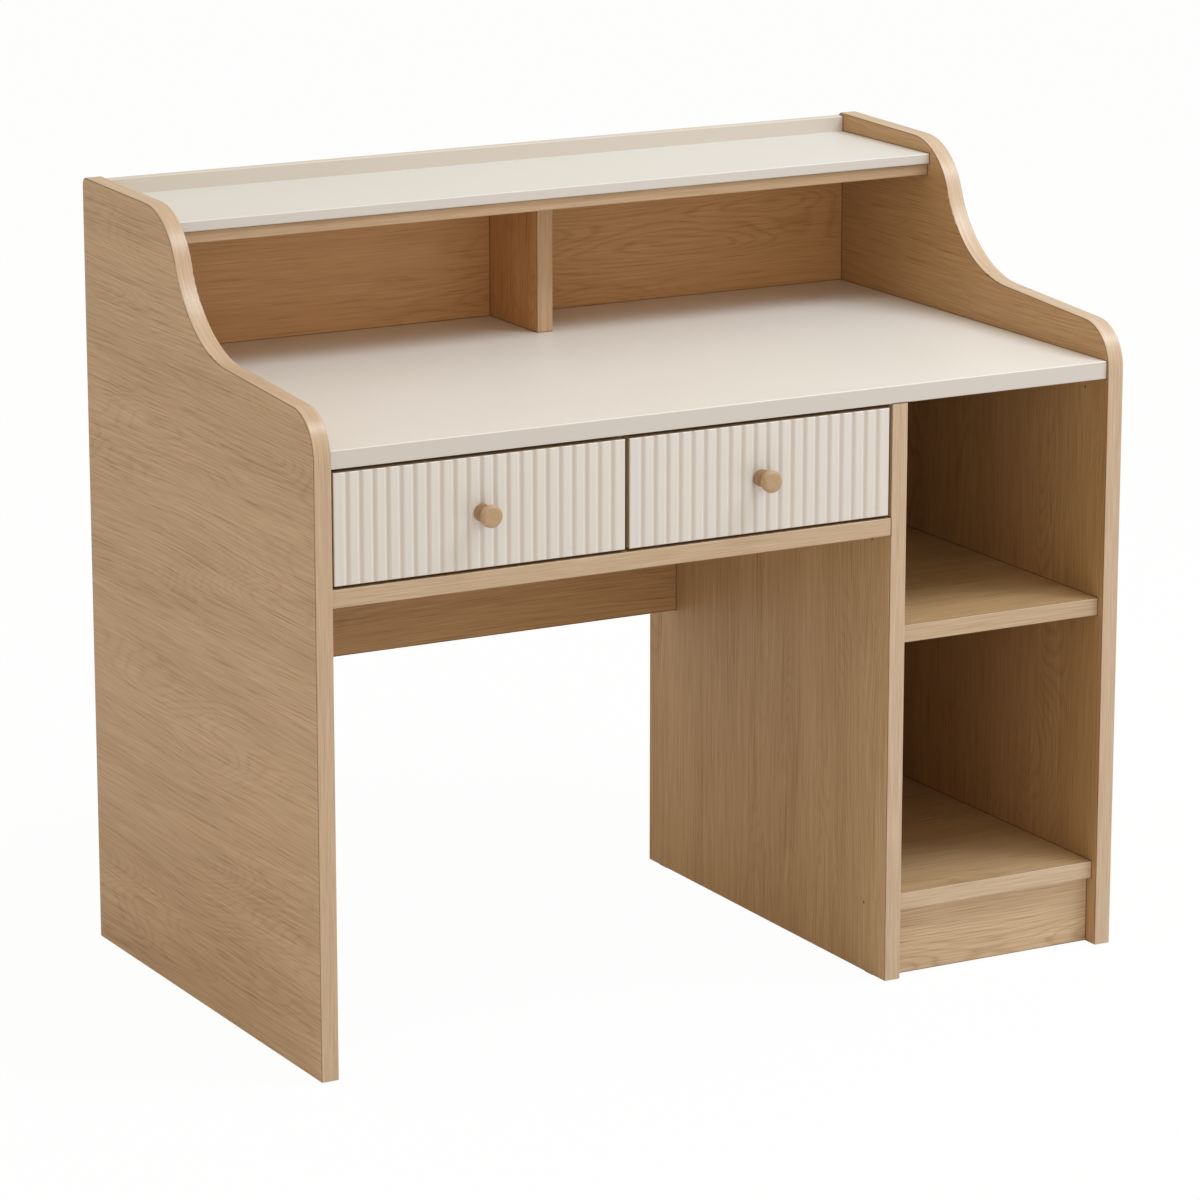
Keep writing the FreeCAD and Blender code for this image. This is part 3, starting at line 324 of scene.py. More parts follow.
def make_edge_band() -> NodeTree:
    """Make the edge banding of a board: fine streaks that follow the edge, and its seam.

    Returns:
        A shader group. Band is 1 on the board's edges and 0 on its two faces, and Seam is 1
        on the thin glue line between them.
    """
    ports = Ports("edge_band", "Shader", Vector=("Position", "Normal", "Through", "Stretch"),
                  Color=("Light", "Dark"), to_Color=("Colour",),
                  to_Float=("Band", "Seam", "Height"))
    tree, given = ports.tree, ports.given
    facing = abs(tree.vector("DOT_PRODUCT", given["Normal"], given["Through"], output="Value"))
    long_way = tree.vector("MULTIPLY", given["Position"], given["Stretch"])
    streak = tree.noise(given["Position"], given["Stretch"], 4.0, 0.68)
    tone = tree.noise(long_way, (0.28, 0.28, 0.28), 1.0)
    shade = (tone - 0.5) * 0.5 + ((streak - 0.5) * 2.5 + 0.38)
    held = tree.least(tree.most(shade, -0.3), 1.3)
    return ports.give(
        Colour=tree.mix(held, given["Light"], given["Dark"]), Height=streak,
        Band=tree.remap(facing, *BAND_FACING, 1.0, 0.0),
        Seam=tree.remap(facing, *SEAM_FACING[0]) * tree.remap(facing, *SEAM_FACING[1], 1.0, 0.0))


def make_pin_knot() -> NodeTree:
    """Make one small dark pin knot at a place on a board.

    Returns:
        A shader group whose Mask is 1 inside the knot.
    """
    ports = Ports("pin_knot", "Shader", Vector=("Position", "Centre"), Float=("Radius",),
                  to_Float=("Mask",))
    tree, given = ports.tree, ports.given
    offset = tree.vector("SUBTRACT", given["Position"], given["Centre"])
    distance = tree.vector("LENGTH", offset, output="Value") / given["Radius"]
    return ports.give(Mask=tree.remap(distance, 0.6, 1.3, 1.0, 0.0))


def make_joint_shade() -> NodeTree:
    """Make painted contact shade: a thin dark line where another board stands against this one.

    Returns:
        A shader group whose Mask is 1 next to the other board, given by its centre and its
        half size, and 0 from Reach away.
    """
    ports = Ports("joint_shade", "Shader", Vector=("Position", "Centre", "Half Size"),
                  Float=("Reach",), to_Float=("Mask",))
    tree, given = ports.tree, ports.given
    offset = tree.vector("SUBTRACT", given["Position"], given["Centre"])
    apart = tree.vector("SUBTRACT", tree.vector("ABSOLUTE", offset), given["Half Size"])
    apart = tree.vector("MAXIMUM", apart, (0.0, 0.0, 0.0))
    gap = tree.vector("LENGTH", apart, output="Value")
    near = tree.most(1.0 - gap / given["Reach"], 0.0)
    return ports.give(Mask=tree.calculate("POWER", near, 0.6))


def make_speckle() -> NodeTree:
    """Make the faint mottle of a coated or plated surface.

    Returns:
        A shader group with a colour that drifts a little round Colour, and a fine height.
    """
    ports = Ports("speckle", "Shader", Vector=("Position",), Color=("Colour",),
                  Float=("Drift", "Grain", "Roughness"), to_Color=("Colour",),
                  to_Float=("Height", "Roughness"))
    tree, given = ports.tree, ports.given
    cloud = tree.noise(given["Position"], (7.0, 7.0, 7.0), 3.0, 0.55)
    grit = tree.noise(given["Position"], given["Grain"], 2.0, 0.6)
    swing = (cloud - 0.5) + (grit - 0.5) * 0.5
    colour = tree.out("ShaderNodeVectorMath", {
        0: given["Colour"], "Scale": swing * given["Drift"] + 1.0,
    }, operation="SCALE")
    return ports.give(Colour=colour, Height=grit, Roughness=swing * 0.10 + given["Roughness"])


@dataclass(frozen=True)
class Effects:
    """The shader groups that more than one finish uses."""

    oak_grain: NodeTree = field(default_factory=OakGrain().make)
    edge_band: NodeTree = field(default_factory=make_edge_band)
    pin_knot: NodeTree = field(default_factory=make_pin_knot)
    joint_shade: NodeTree = field(default_factory=make_joint_shade)
    speckle: NodeTree = field(default_factory=make_speckle)


# ---- finishes

def touching(node: str, others: tuple[str, ...]) -> tuple[str, ...]:
    """Name the boards that stand against a board.

    Args:
        node: the board's node.
        others: the nodes to look through.

    Returns:
        The nodes whose boxes meet the board's box.
    """
    low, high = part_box(node)
    boxes = {other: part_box(other) for other in others if other != node}
    return tuple(other for other, (start, end) in boxes.items() if all(
        start[axis] < high[axis] + TOUCH and low[axis] < end[axis] + TOUCH for axis in range(3)))


class Axis(Enum):
    """A direction of the desk: across it, front to back, or up."""

    X = 0
    Y = 1
    Z = 2


X, Y, Z = Axis


class Shader:
    """A new material: its tree, its Principled shader, and the object position and normal."""

    def __init__(self, name: str, effects: Effects, neighbours: tuple[str, ...] = ()) -> None:
        """Make a material with one Principled shader.

        Args:
            name: the material's name.
            effects: the shared effects.
            neighbours: the nodes of the boards that touch the piece.
        """
        self.effects, self.neighbours = effects, neighbours
        self.material = bpy.data.materials.new(name)
        self.tree = emptied(self.material)
        self.principled = self.tree.add("ShaderNodeBsdfPrincipled")
        self.tree.add("ShaderNodeOutputMaterial", {"Surface": self.principled.outputs[0]})
        place = self.tree.add("ShaderNodeTexCoord").outputs
        self.position = Signal(self.tree, place["Object"])
        self.normal = Signal(self.tree, place["Normal"])

    def finish(self, colour: Signal, rough: Signal, height: Signal, depth: float,
               **values: object) -> Material:
        """Paint a thin dark line of contact shade round each neighbour and feed the shader.

        Args:
            colour: the base colour.
            rough: the roughness.
            height: the relief, from about 0 to 1.
            depth: how deep the relief is, in metres.
            values: the shader's other values; an underscore stands for a space.

        Returns:
            The finished material.
        """
        # painted contact shade next to each touching board
        for node in self.neighbours:
            low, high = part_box(node)
            mask = self.tree.effect(self.effects.joint_shade, {
                "Position": self.position, "Centre": (low + high) / 2,
                "Half Size": (high - low) / 2, "Reach": JOINT_SHADE_REACH,
            })["Mask"]
            colour = self.tree.mix(mask * JOINT_SHADE_STRENGTH, colour, JOINT_SHADE_COLOUR)
        values["Normal"] = self.tree.out("ShaderNodeBump", {
            "Strength": BUMP_STRENGTH, "Distance": depth, "Height": height,
        }, "Normal")
        values |= {"Base_Color": colour, "Roughness": rough, "IOR": IOR}
        for name, value in values.items():
            self.tree.feed(self.principled.inputs[name.replace("_", " ")], value)
        return self.material


@dataclass(frozen=True)
class Oak:
    """Oak decor on a board, with matching edge banding.

    The inner face is the one towards the start of the through axis. It can have a tint of its own
    that paints light and shade on it, and its grain can run up under a level.
    """

    along: Axis
    through: Axis
    seed: int
    turned_below: float | None = None
    figure: float = 1.0
    fibres: float = 1.0
    pores: float = 1.0
    knots: tuple[Triple, ...] = ()
    # light_shade_tint and band_light_shade_tint are per-board colour gains, partly the board's own
    # tone and partly painted light and shade
    light_shade_tint: Colour = WHITE
    inner_light_shade_tint: Colour = WHITE
    band_light_shade_tint: Colour = WHITE
    light: Colour = (0.605, 0.423, 0.235)
    dark: Colour = (0.405, 0.258, 0.124)
    band_light: Colour = (0.645, 0.490, 0.330)
    band_dark: Colour = (0.480, 0.335, 0.195)
    band_gloss: float = 0.20
    band_cells_along: float = 13.0
    band_cells_across: float = 520.0
    relief: float = 0.12 * MM

    def tones(self, light: Colour, dark: Colour, light_shade_tint: Colour) -> dict[str, Colour]:
        """Return the Light and Dark inputs of an effect under a tint that paints light and shade.
        """
        return {name: tuple(share * part for share, part in zip(light_shade_tint, colour))
                for name, colour in (("Light", light), ("Dark", dark))}

    def cut(self, shader: Shader, along: Axis) -> dict[str, Signal]:
        """Place the oak grain in the material, shifted to this board's own cut.

        Args:
            shader: the material.
            along: the direction of the grain.

        Returns:
            The grain's outputs, by name.
        """
        across = next(axis for axis in Axis if axis not in (along, self.through))
        parts = shader.tree.split(shader.position)
        turned = shader.tree.join(*(parts[axis.value] for axis in (along, across, self.through)))
        draw = random.Random(self.seed)
        shift = [draw.uniform(-20.0, 20.0) for _ in range(3)]
        place = shader.tree.out("ShaderNodeMapping", {"Vector": turned, "Location": shift})
        return shader.tree.effect(shader.effects.oak_grain, {
            "Grain Position": place, **self.tones(self.light, self.dark, self.light_shade_tint),
            "Figure": self.figure, "Fibres": self.fibres, "Pores": self.pores,
        })

    def lay(self, shader: Shader) -> Material:
        """Lay the oak on a new material.

        Args:
            shader: the material's shader.

        Returns:
            The material.
        """
        tree, effects = shader.tree, shader.effects
        face = self.cut(shader, self.along)
        colour = face["Colour"]
        inner = tree.split(shader.normal)[self.through.value] < -0.5
        if self.turned_below is not None:
            upright = self.cut(shader, Z)["Colour"]
            under = tree.split(shader.position)[2] < self.turned_below
            colour = tree.mix(under * inner, colour, upright)
        # inner_light_shade_tint paints light and shade on the inner face
        colour = tree.mix(inner, colour, self.inner_light_shade_tint, "MULTIPLY")
        for knot in self.knots:
            mask = tree.effect(effects.pin_knot, {
                "Position": shader.position, "Centre": knot, "Radius": KNOT_RADIUS,
            })["Mask"]
            colour = tree.mix(mask, colour, KNOT_COLOUR)
        through, stretch = [0.0] * 3, [self.band_cells_along] * 3
        through[self.through.value], stretch[self.through.value] = 1.0, self.band_cells_across
        band = tree.effect(effects.edge_band, {
            "Position": shader.position, "Normal": shader.normal, "Through": through,
            "Stretch": stretch, **self.tones(self.band_light, self.band_dark, self.band_light_shade_tint),
        })
        colour = tree.mix(band["Band"], colour, band["Colour"])
        colour = tree.mix(band["Seam"] * SEAM_STRENGTH, colour, SEAM_COLOUR)
        return shader.finish(
            colour, face["Roughness"] - band["Band"] * 0.08, face["Height"] + band["Height"] * 0.2,
            self.relief, Coat_Weight=band["Band"] * self.band_gloss, Coat_Roughness=0.25)


@dataclass(frozen=True)
class Coated:
    """A smooth painted, laminated, plated or moulded finish."""

    colour: Colour
    roughness: float = 0.42
    metallic: float = 0.0
    drift: float = 0.03
    grain: float = 900.0
    relief: float = 0.02 * MM
    coat: float = 0.0
    # hollow is painted shade: a darker colour towards the bottom of the grooves
    hollow: Colour | None = None
    # raw_edge is the brown of a raw board on the fronts' back and sides, partly painted shade for
    # the gaps round the fronts
    raw_edge: Colour | None = None
    # edge is painted shade: a darker colour on the upright faces
    edge: Colour | None = None

    def lay(self, shader: Shader) -> Material:
        """Lay the coat on a new material.

        Args:
            shader: the material's shader.

        Returns:
            The material.
        """
        tree = shader.tree
        film = tree.effect(shader.effects.speckle, {
            "Position": shader.position, "Colour": self.colour, "Drift": self.drift,
            "Grain": self.grain, "Roughness": self.roughness,
        })
        colour = film["Colour"]
        # hollow paints shade into the grooves of the fluted fronts
        for name, low, tone in (("hollow", 0.45, self.hollow), ("raw_edge", 0.0, self.raw_edge)):
            # raw_edge lays the raw board colour on the back and sides, partly as painted shade in
            # the gaps
            if tone is not None:
                mask = tree.out("ShaderNodeAttribute", output="Fac", attribute_name=name)
                colour = tree.mix(tree.remap(mask, low, 1.0), colour, tone)
        # painted shade: the upright faces, such as the front edge, get the darker edge colour
        if self.edge is not None:
            upright = tree.remap(abs(tree.split(shader.normal)[2]), 0.25, 0.60, 1.0, 0.0)
            colour = tree.mix(upright, colour, self.edge)
        return shader.finish(colour, film["Roughness"], film["Height"], self.relief,
                             Metallic=self.metallic, Coat_Weight=self.coat, Coat_Roughness=0.2)


@dataclass(frozen=True)
class TurnedWood:
    """Pale wood that was turned on a lathe, with a foot that is darker between two places: painted
    shade, partly darker end grain.
    """

    along: Axis
    seed: int
    light: Colour = (0.535, 0.372, 0.228)
    dark: Colour = (0.390, 0.250, 0.140)
    foot: tuple[float, float] | None = None
    foot_shade_tint: Colour = (0.76, 0.68, 0.60)
    relief: float = 0.06 * MM

    def lay(self, shader: Shader) -> Material:
        """Lay the wood on a new material.

        Args:
            shader: the material's shader.

        Returns:
            The material.
        """
        through = [axis for axis in Axis if axis is not self.along][1]
        oak = Oak(self.along, through, self.seed, figure=0.15, fibres=0.6, pores=0.4,
                  light=self.light, dark=self.dark)
        wood = oak.cut(shader, self.along)
        colour = wood["Colour"]
        if self.foot is not None:
            # painted shade darkens the foot, where the knob meets the front
            place = shader.tree.split(shader.position)[self.along.value]
            foot_shade_share = shader.tree.remap(place, *self.foot)
            colour = shader.tree.mix(foot_shade_share, colour, self.foot_shade_tint, "MULTIPLY")
        return shader.finish(colour, wood["Roughness"], wood["Height"], self.relief)


# ---- mesh tools

def add_object(name: str, data: ID) -> Object:
    """Put a new object with a mesh, lamp or camera in the scene and return it."""
    bpy.context.scene.collection.objects.link(made := bpy.data.objects.new(name, data))
    return made


def grow(name: str, group: NodeTree, values: Inputs, seed_mesh: Mesh | None = None) -> Object:
    """Run a geometry node tree and keep its result as a plain mesh.

    Args:
        name: the new piece's name.
        group: the geometry node tree.
        values: the tree's inputs, by name.
        seed_mesh: the mesh that the tree starts from.

    Returns:
        A piece at the origin with no modifier left on it.
    """
    piece = add_object(name, seed_mesh or bpy.data.meshes.new(f"{name}_seed"))
    modifier = piece.modifiers.new("grow", "NODES")
    modifier.node_group = group
    for item in group.interface.items_tree:
        if item.item_type == "SOCKET" and item.in_out == "INPUT" and item.name in values:
            modifier[item.identifier] = values[item.name]
    evaluated = piece.evaluated_get(bpy.context.evaluated_depsgraph_get())
    made = bpy.data.meshes.new_from_object(evaluated)
    piece.modifiers.remove(modifier)
    piece.data = made
    made.name = name
    return piece


def tidy_mesh(piece: Object, merge: float, crease: float) -> None:
    """Weld a piece, turn its faces outward and shade it smooth between sharp edges.

    Args:
        piece: the piece.
        merge: how near two points are welded, in metres.
        crease: the angle over which an edge stays sharp, in degrees.
    """
    work = bmesh.new()
    work.from_mesh(piece.data)
    bmesh.ops.remove_doubles(work, verts=work.verts, dist=merge)
    bmesh.ops.recalc_face_normals(work, faces=work.faces)
    for polygon in work.faces:
        polygon.smooth = True
    for edge in work.edges:
        edge.smooth = edge.calc_face_angle(math.pi) < math.radians(crease)
    work.to_mesh(piece.data)
    work.free()


def dress(node: str, material: Material) -> None:
    """Give a node of the frame its finish."""
    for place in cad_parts[node].material_slots:
        place.material = material


def stand_for(piece: Object, node: str, body: str) -> None:
    """Show a piece in the place of a node.

    Args:
        piece: the new piece.
        node: the node that it stands for.
        body: the body that it rides on.
    """
    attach(piece, body)
    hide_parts(node)


# ---- fluted front

def make_flute_tree() -> NodeTree:
    """Make the tree that grows a fluted drawer front.

    The face is a grid with rounded borders. Round-bottomed grooves are sunk at every rib's
    edge, and the back and the sides close the board.

    Returns:
        A geometry node tree.
    """
    ports = Ports("fluted_front", "Geometry", Vector=("Corner",), Material=("Finish",),
                  Int=("Ribs", "Steps", "Edge Steps"), to_Geometry=("Geometry",),
                  Float=("Width", "Height", "Thickness", "Groove Width", "Groove Depth",
                         "Edge Radius", "Ease"))
    tree, given = ports.tree, ports.given
    ribs, deep, thickness = given["Ribs"], given["Groove Depth"], given["Thickness"]
    radius, steps = given["Edge Radius"], given["Edge Steps"]
    border = steps * 2.0
    columns = ribs * given["Steps"] + 1.0 + border
    rows = border + 2.0
    grid = tree.out("GeometryNodeMeshGrid", {"Vertices X": columns, "Vertices Y": rows})
    index = tree.out("GeometryNodeInputIndex")
    column = tree.calculate("FLOOR", (index + 0.5) / rows)
    row = index - column * rows

    def along(number: Signal, count: Signal, length: Signal) -> tuple[Signal, Signal]:
        """Place a line of the grid between two rounded borders.

        Args:
            number: the line's number.
            count: how many lines there are.
            length: the side's full length.

        Returns:
            The line's place from the side's start, and how far its border falls back.
        """
        last = count - 1.0
        inward = tree.least(number, last - number)
        angle = tree.least(inward / steps, 1.0) * (math.pi / 2)
        fall = radius * (1.0 - tree.calculate("SINE", angle))
        start = radius * (1.0 - tree.calculate("COSINE", angle))
        pitch = (length - radius * 2.0) / (last - border)
        inset = tree.most(inward - steps, 0.0) * pitch + start
        far = number > last * 0.5
        return inset * (1.0 - far) + (length - inset) * far, fall

    x, fall_x = along(column, columns, given["Width"])
    z, fall_z = along(row, rows, given["Height"])

    rib = given["Width"] / ribs
    turn = x / rib
    nearest = tree.calculate("ROUND", turn)
    off = (turn - nearest) * rib
    half = given["Groove Width"] * 0.5
    round_bottom = (half * half + deep * deep) / (deep * 2.0)
    inside = tree.most(round_bottom * round_bottom - off * off, 0.0)
    sunk = tree.calculate("SQRT", inside) - (round_bottom - deep)
    real = (nearest > 0.5) * (nearest < ribs - 0.5)
    sunk = tree.most(sunk, -2 * MM) * real
    groove = tree.calculate("SMOOTH_MAX", sunk, 0.0, given["Ease"])
    depth = tree.most(tree.most(fall_x, fall_z), groove)

    def placed(geometry: Signal, y: Signal) -> Signal:
        """Return the grid with its points in their places at a depth behind the face."""
        at = tree.vector("ADD", tree.join(x, y, z), given["Corner"])
        return tree.out("GeometryNodeSetPosition", {"Geometry": geometry, "Position": at})

    def noted(geometry: Signal, name: str, value: object, domain: str) -> Signal:
        """Return a geometry with a named attribute on its points or faces."""
        inputs = {"Geometry": geometry, "Name": name, "Value": value}
        return tree.out("GeometryNodeStoreNamedAttribute", inputs, data_type="FLOAT",
                        domain=domain)

    # hollow holds each point's share of the groove depth, which the paint turns into painted shade
    face = placed(noted(grid, "hollow", groove / deep, "POINT"), depth)
    back = tree.out("GeometryNodeFlipFaces", {"Mesh": placed(grid, thickness)})
    rim = tree.out("GeometryNodeInputMeshEdgeNeighbors") < 1.5
    ridge = tree.add("GeometryNodeExtrudeMesh", {
        "Mesh": face, "Selection": rim, "Offset Scale": 0.0,
    }, mode="EDGES").outputs
    here = tree.split(tree.out("GeometryNodeInputPosition"))
    rear = tree.split(given["Corner"])[1] + thickness
    sides = tree.out("GeometryNodeSetPosition", {
        "Geometry": ridge["Mesh"], "Selection": ridge["Top"],
        "Position": tree.join(here[0], rear, here[2]),
    })
    board = tree.out("GeometryNodeJoinGeometry", {0: (
        # the back and the sides are marked for the raw board colour, partly painted shade in the
        # gaps round the fronts
        noted(back, "raw_edge", 1.0, "FACE"), noted(sides, "raw_edge", ridge["Side"], "FACE"),
    )})
    return ports.give_mesh(tree.out("GeometryNodeMergeByDistance", {
        "Geometry": board, "Distance": 2 * WELD,
    }))


# ---- screws

HEAD_SIDES, HEAD_RINGS, SHANK_SIDES, SHANK_STEPS = 28, 9, 16, 12
DOME_DEPTH, SLOT_DEPTH, SLOT_REACH = 0.45, 0.62, 0.58
TIP_LENGTH, TIP_WIDTH = 3.0, 0.06


def make_screw_tree() -> NodeTree:
    """Make the tree that puts a cross-head screw at each point, along its way attribute.

    Returns:
        A geometry node tree.
    """
    ports = Ports("cross_head_screws", "Geometry", Geometry=("Points",), Material=("Finish",),
                  Float=("Head Diameter", "Head Height", "Shank Diameter", "Length",
                         "Slot Width"), to_Geometry=("Geometry",))
    tree, given = ports.tree, ports.given
    height, length = given["Head Height"], given["Length"]
    head_radius, shank_radius = given["Head Diameter"] * 0.5, given["Shank Diameter"] * 0.5
    slot_half = given["Slot Width"] * 0.5
    half = height * 0.5
    head = tree.out("GeometryNodeMeshCylinder", {
        "Vertices": HEAD_SIDES, "Side Segments": 1, "Fill Segments": HEAD_RINGS,
        "Radius": head_radius, "Depth": height,
    }, fill_type="TRIANGLE_FAN")
    x, y, z = tree.split(tree.out("GeometryNodeInputPosition"))
    share = tree.calculate("SQRT", x * x + y * y) / head_radius
    dome = tree.calculate("POWER", share, 3.0) * DOME_DEPTH

    def slot(across: Signal, along: Signal) -> Signal:
        """Return 1 inside one slot of the cross and 0 outside it."""
        return (abs(across) < slot_half) * (abs(along) < head_radius * SLOT_REACH)

    cross = tree.most(slot(x, y), slot(y, x))
    drop = tree.most(dome, cross * SLOT_DEPTH) * (z > half * 0.9) * height
    shaped = tree.out("GeometryNodeSetPosition", {"Geometry": head,
                                                  "Offset": tree.join(z=drop * -1.0)})
    shank = tree.out("GeometryNodeMeshCone", {
        "Vertices": SHANK_SIDES, "Side Segments": SHANK_STEPS, "Fill Segments": 1,
        "Radius Top": shank_radius, "Radius Bottom": shank_radius, "Depth": length - height,
    })
    slim = tree.least(tree.most(z / (shank_radius * TIP_LENGTH), TIP_WIDTH), 1.0)
    pointed = tree.out("GeometryNodeSetPosition", {
        "Geometry": shank, "Position": tree.join(x * slim, y * slim, z),
    })
    screw = tree.out("GeometryNodeJoinGeometry", {0: [
        tree.out("GeometryNodeTransform", {"Geometry": part,
                                           "Translation": tree.join(z=down * -1.0)})
        for part, down in ((shaped, half), (pointed, length))
    ]})
    way = tree.out("GeometryNodeInputNamedAttribute", {"Name": "way"},
                   data_type="FLOAT_VECTOR")
    turn = tree.out("FunctionNodeAlignRotationToVector", {"Vector": way}, axis="Z")
    return ports.give_mesh(tree.out("GeometryNodeInstanceOnPoints", {
        "Points": given["Points"], "Instance": screw, "Rotation": turn,
    }))


def loose_parts(node: str) -> list[np.ndarray]:
    """Split a node of the frame into the points of its separate solids.

    Args:
        node: the node's name.

    Returns:
        The points of each solid, in metres.
    """
    work = bmesh.new()
    work.from_mesh(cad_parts[node].data)
    bmesh.ops.remove_doubles(work, verts=work.verts, dist=WELD)
    left, parts = set(work.verts), []
    while left:
        reached, front = set(), [next(iter(left))]
        while front:
            vertex = front.pop()
            if vertex not in reached:
                reached.add(vertex)
                front += [edge.other_vert(vertex) for edge in vertex.link_edges]
        left -= reached
        parts.append(np.array([tuple(vertex.co) for vertex in reached]))
    work.free()
    return sorted(parts, key=lambda points: tuple(points.mean(0).round(4)))


@dataclass
class Screws:
    """The screws of one node: cross-head screws with a domed head and a point."""

    node: str
    body: str
    slot_share: float = 0.16
    crease: float = 35.0

    def read(self) -> tuple[list, list, dict[str, float]]:
        """Measure the node's screws.

        Returns:
            Where each head's top is, which way each head faces, and the sizes of one screw.
        """
        tops, ways, sizes = [], [], {}
        for points in loose_parts(self.node):
            low, high = points.min(0), points.max(0)
            axis = int(np.argmax(high - low))
            middle = (low + high) / 2
            reach = np.linalg.norm(np.delete(points - middle, axis, 1), axis=1)
            wide = points[reach > reach.max() * 0.98][:, axis]
            at_high = wide.mean() > middle[axis]
            top, way = middle.copy(), np.zeros(3)
            top[axis], way[axis] = (high[axis], 1.0) if at_high else (low[axis], -1.0)
            tops.append(top)
            ways.append(way)
            sizes = {
                "Head Diameter": 2 * float(reach.max()), "Head Height": float(np.ptp(wide)),
                "Shank Diameter": 2 * float(reach[reach > 10 * WELD].min()),
                "Length": float(high[axis] - low[axis]),
            }
        return tops, ways, sizes

    def build(self, group: NodeTree, finish: Material) -> None:
        """Grow the screws and show them for the node.

        Args:
            group: the screw tree.
            finish: the screws' finish.
        """
        tops, ways, sizes = self.read()
        points = bpy.data.meshes.new(f"{self.node}_points")
        points.from_pydata([tuple(top) for top in tops], [], [])
        way = points.attributes.new("way", "FLOAT_VECTOR", "POINT")
        way.data.foreach_set("vector", np.array(ways, np.float32).ravel())
        sizes["Slot Width"] = sizes["Head Diameter"] * self.slot_share
        piece = grow(f"{self.node}_cross_head", group, {**sizes, "Finish": finish}, points)
        tidy_mesh(piece, WELD, self.crease)
        stand_for(piece, self.node, self.body)
        log.info("%s: %d screws, %d faces", piece.name, len(tops), len(piece.data.polygons))


# ---- sub-assemblies

@dataclass
class Boards:
    """Boards of one kind, with the look of each."""

    kind: str
    looks: dict[str, Oak | Coated]

    def dress(self, effects: Effects, others: tuple[str, ...]) -> None:
        """Give every board its material.

        Args:
            effects: the shared effects.
            others: the nodes of the boards that leave painted contact shade on it.
        """
        for name, look in self.looks.items():
            shader = Shader(f"{self.kind}_{name}", effects, touching(name, others))
            dress(name, look.lay(shader))
            log.info("%s: %s", name, self.kind)


@dataclass
class Carcass(Boards):
    """The oak boards of the desk and the hutch, with the grain of each."""

    kind: str = "oak"
    # each board's tints are colour gains that paint light and shade on it, partly its own tone
    looks: dict[str, Oak | Coated] = field(default_factory=lambda: {
        "left_side_panel": Oak(Y, X, 11, figure=0.65, light_shade_tint=(0.99, 1.02, 1.17),
                               band_light_shade_tint=(0.97, 0.96, 0.98)),
        "right_side_panel": Oak(Y, X, 23, turned_below=0.739, inner_light_shade_tint=(0.93, 0.83, 0.72),
                                band_light_shade_tint=(1.0, 1.01, 1.07), knots=((0.528, -0.258, 0.7099),)),
        "partition_panel": Oak(Z, X, 37, figure=0.7, band_light_shade_tint=(1.0, 1.01, 1.07),
                               knots=((0.220, -0.2525, 0.0906), (0.220, -0.261, 0.553))),
        "hutch_divider": Oak(Z, X, 41, light_shade_tint=(1.12, 0.91, 0.75), band_light_shade_tint=(0.93, 0.83, 0.77)),
        "drawer_divider_panel": Oak(Y, X, 43),
        "hutch_back_panel": Oak(X, Y, 47, fibres=0.8, pores=0.8,
                                inner_light_shade_tint=(1.22, 1.05, 0.905)),
        "rear_modesty_rail": Oak(X, Y, 53, inner_light_shade_tint=(0.96, 0.87, 0.78)),
        "cubby_plinth": Oak(X, Y, 59, figure=1.2, light_shade_tint=(1.11, 1.20, 1.42)),
        "cubby_back_panel": Oak(Z, Y, 61, inner_light_shade_tint=(0.95, 0.88, 0.80)),
        "hutch_shelf_board": Oak(X, Z, 67, light_shade_tint=(1.0, 0.90, 0.80), band_light_shade_tint=(0.86, 0.80, 0.76)),
        "drawer_floor_board": Oak(X, Z, 71, band_light_shade_tint=(0.94, 0.94, 0.96)),
        "cubby_shelf": Oak(X, Z, 73, light_shade_tint=(0.95, 0.92, 0.84), band_light_shade_tint=(0.92, 0.92, 0.92)),
        "cubby_bottom_board": Oak(X, Z, 79, band_light_shade_tint=(1.02, 1.04, 1.10)),
    })


@dataclass
class Tops(Boards):
    """The cream boards: the desk top, the hutch top and the gallery rail behind it."""

    kind: str = "cream"
    looks: dict[str, Oak | Coated] = field(default_factory=lambda: {
        # edge paints shade on the tops' upright faces
        "desk_top": Coated((0.780, 0.745, 0.695), 0.40, drift=0.02, edge=(0.665, 0.630, 0.600)),
        "hutch_top_board": Coated((0.715, 0.705, 0.668), 0.40, drift=0.02,
                                  edge=(0.665, 0.630, 0.600)),
        "hutch_gallery_rail": Coated((0.672, 0.612, 0.540), 0.40, drift=0.02),
    })


def make_finishes(effects: Effects) -> dict[str, Material]:
    """Make the finishes that several pieces share.

    Args:
        effects: the shared effects.

    Returns:
        The materials, by name.
    """
    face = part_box("left_drawer_knob")[1].y
    looks = {
        # the cream paint's hollow is painted shade in the flutes' grooves
        "cream_paint": Coated((0.745, 0.715, 0.690), roughness=0.36, drift=0.02, coat=0.35,
                              # raw_edge is the raw board colour of the fronts' back and sides,
                              # partly painted gap shade
                              hollow=(0.635, 0.57, 0.515), raw_edge=(0.50, 0.36, 0.23)),
        "drawer_board": Coated((0.70, 0.63, 0.53), roughness=0.5, drift=0.06, grain=500.0),
        "slide_steel": Coated((0.58, 0.59, 0.60), roughness=0.34, metallic=1.0, drift=0.12,
                              grain=1400.0),
        "screw_steel": Coated((0.62, 0.62, 0.61), roughness=0.30, metallic=1.0, drift=0.15),
        "cast_zinc": Coated((0.52, 0.52, 0.51), roughness=0.45, metallic=1.0, drift=0.2,
                            grain=2000.0),
        # the knob's foot gets painted shade
        "knob_wood": TurnedWood(Y, 83, foot=(face - 15 * MM, face - 9 * MM)),
        "dowel_wood": TurnedWood(X, 89, (0.62, 0.47, 0.30), (0.48, 0.34, 0.20)),
        "glide_plastic": Coated((0.018, 0.014, 0.012), roughness=0.55, drift=0.2, grain=3000.0),
    }
    return {name: look.lay(Shader(name, effects)) for name, look in looks.items()}


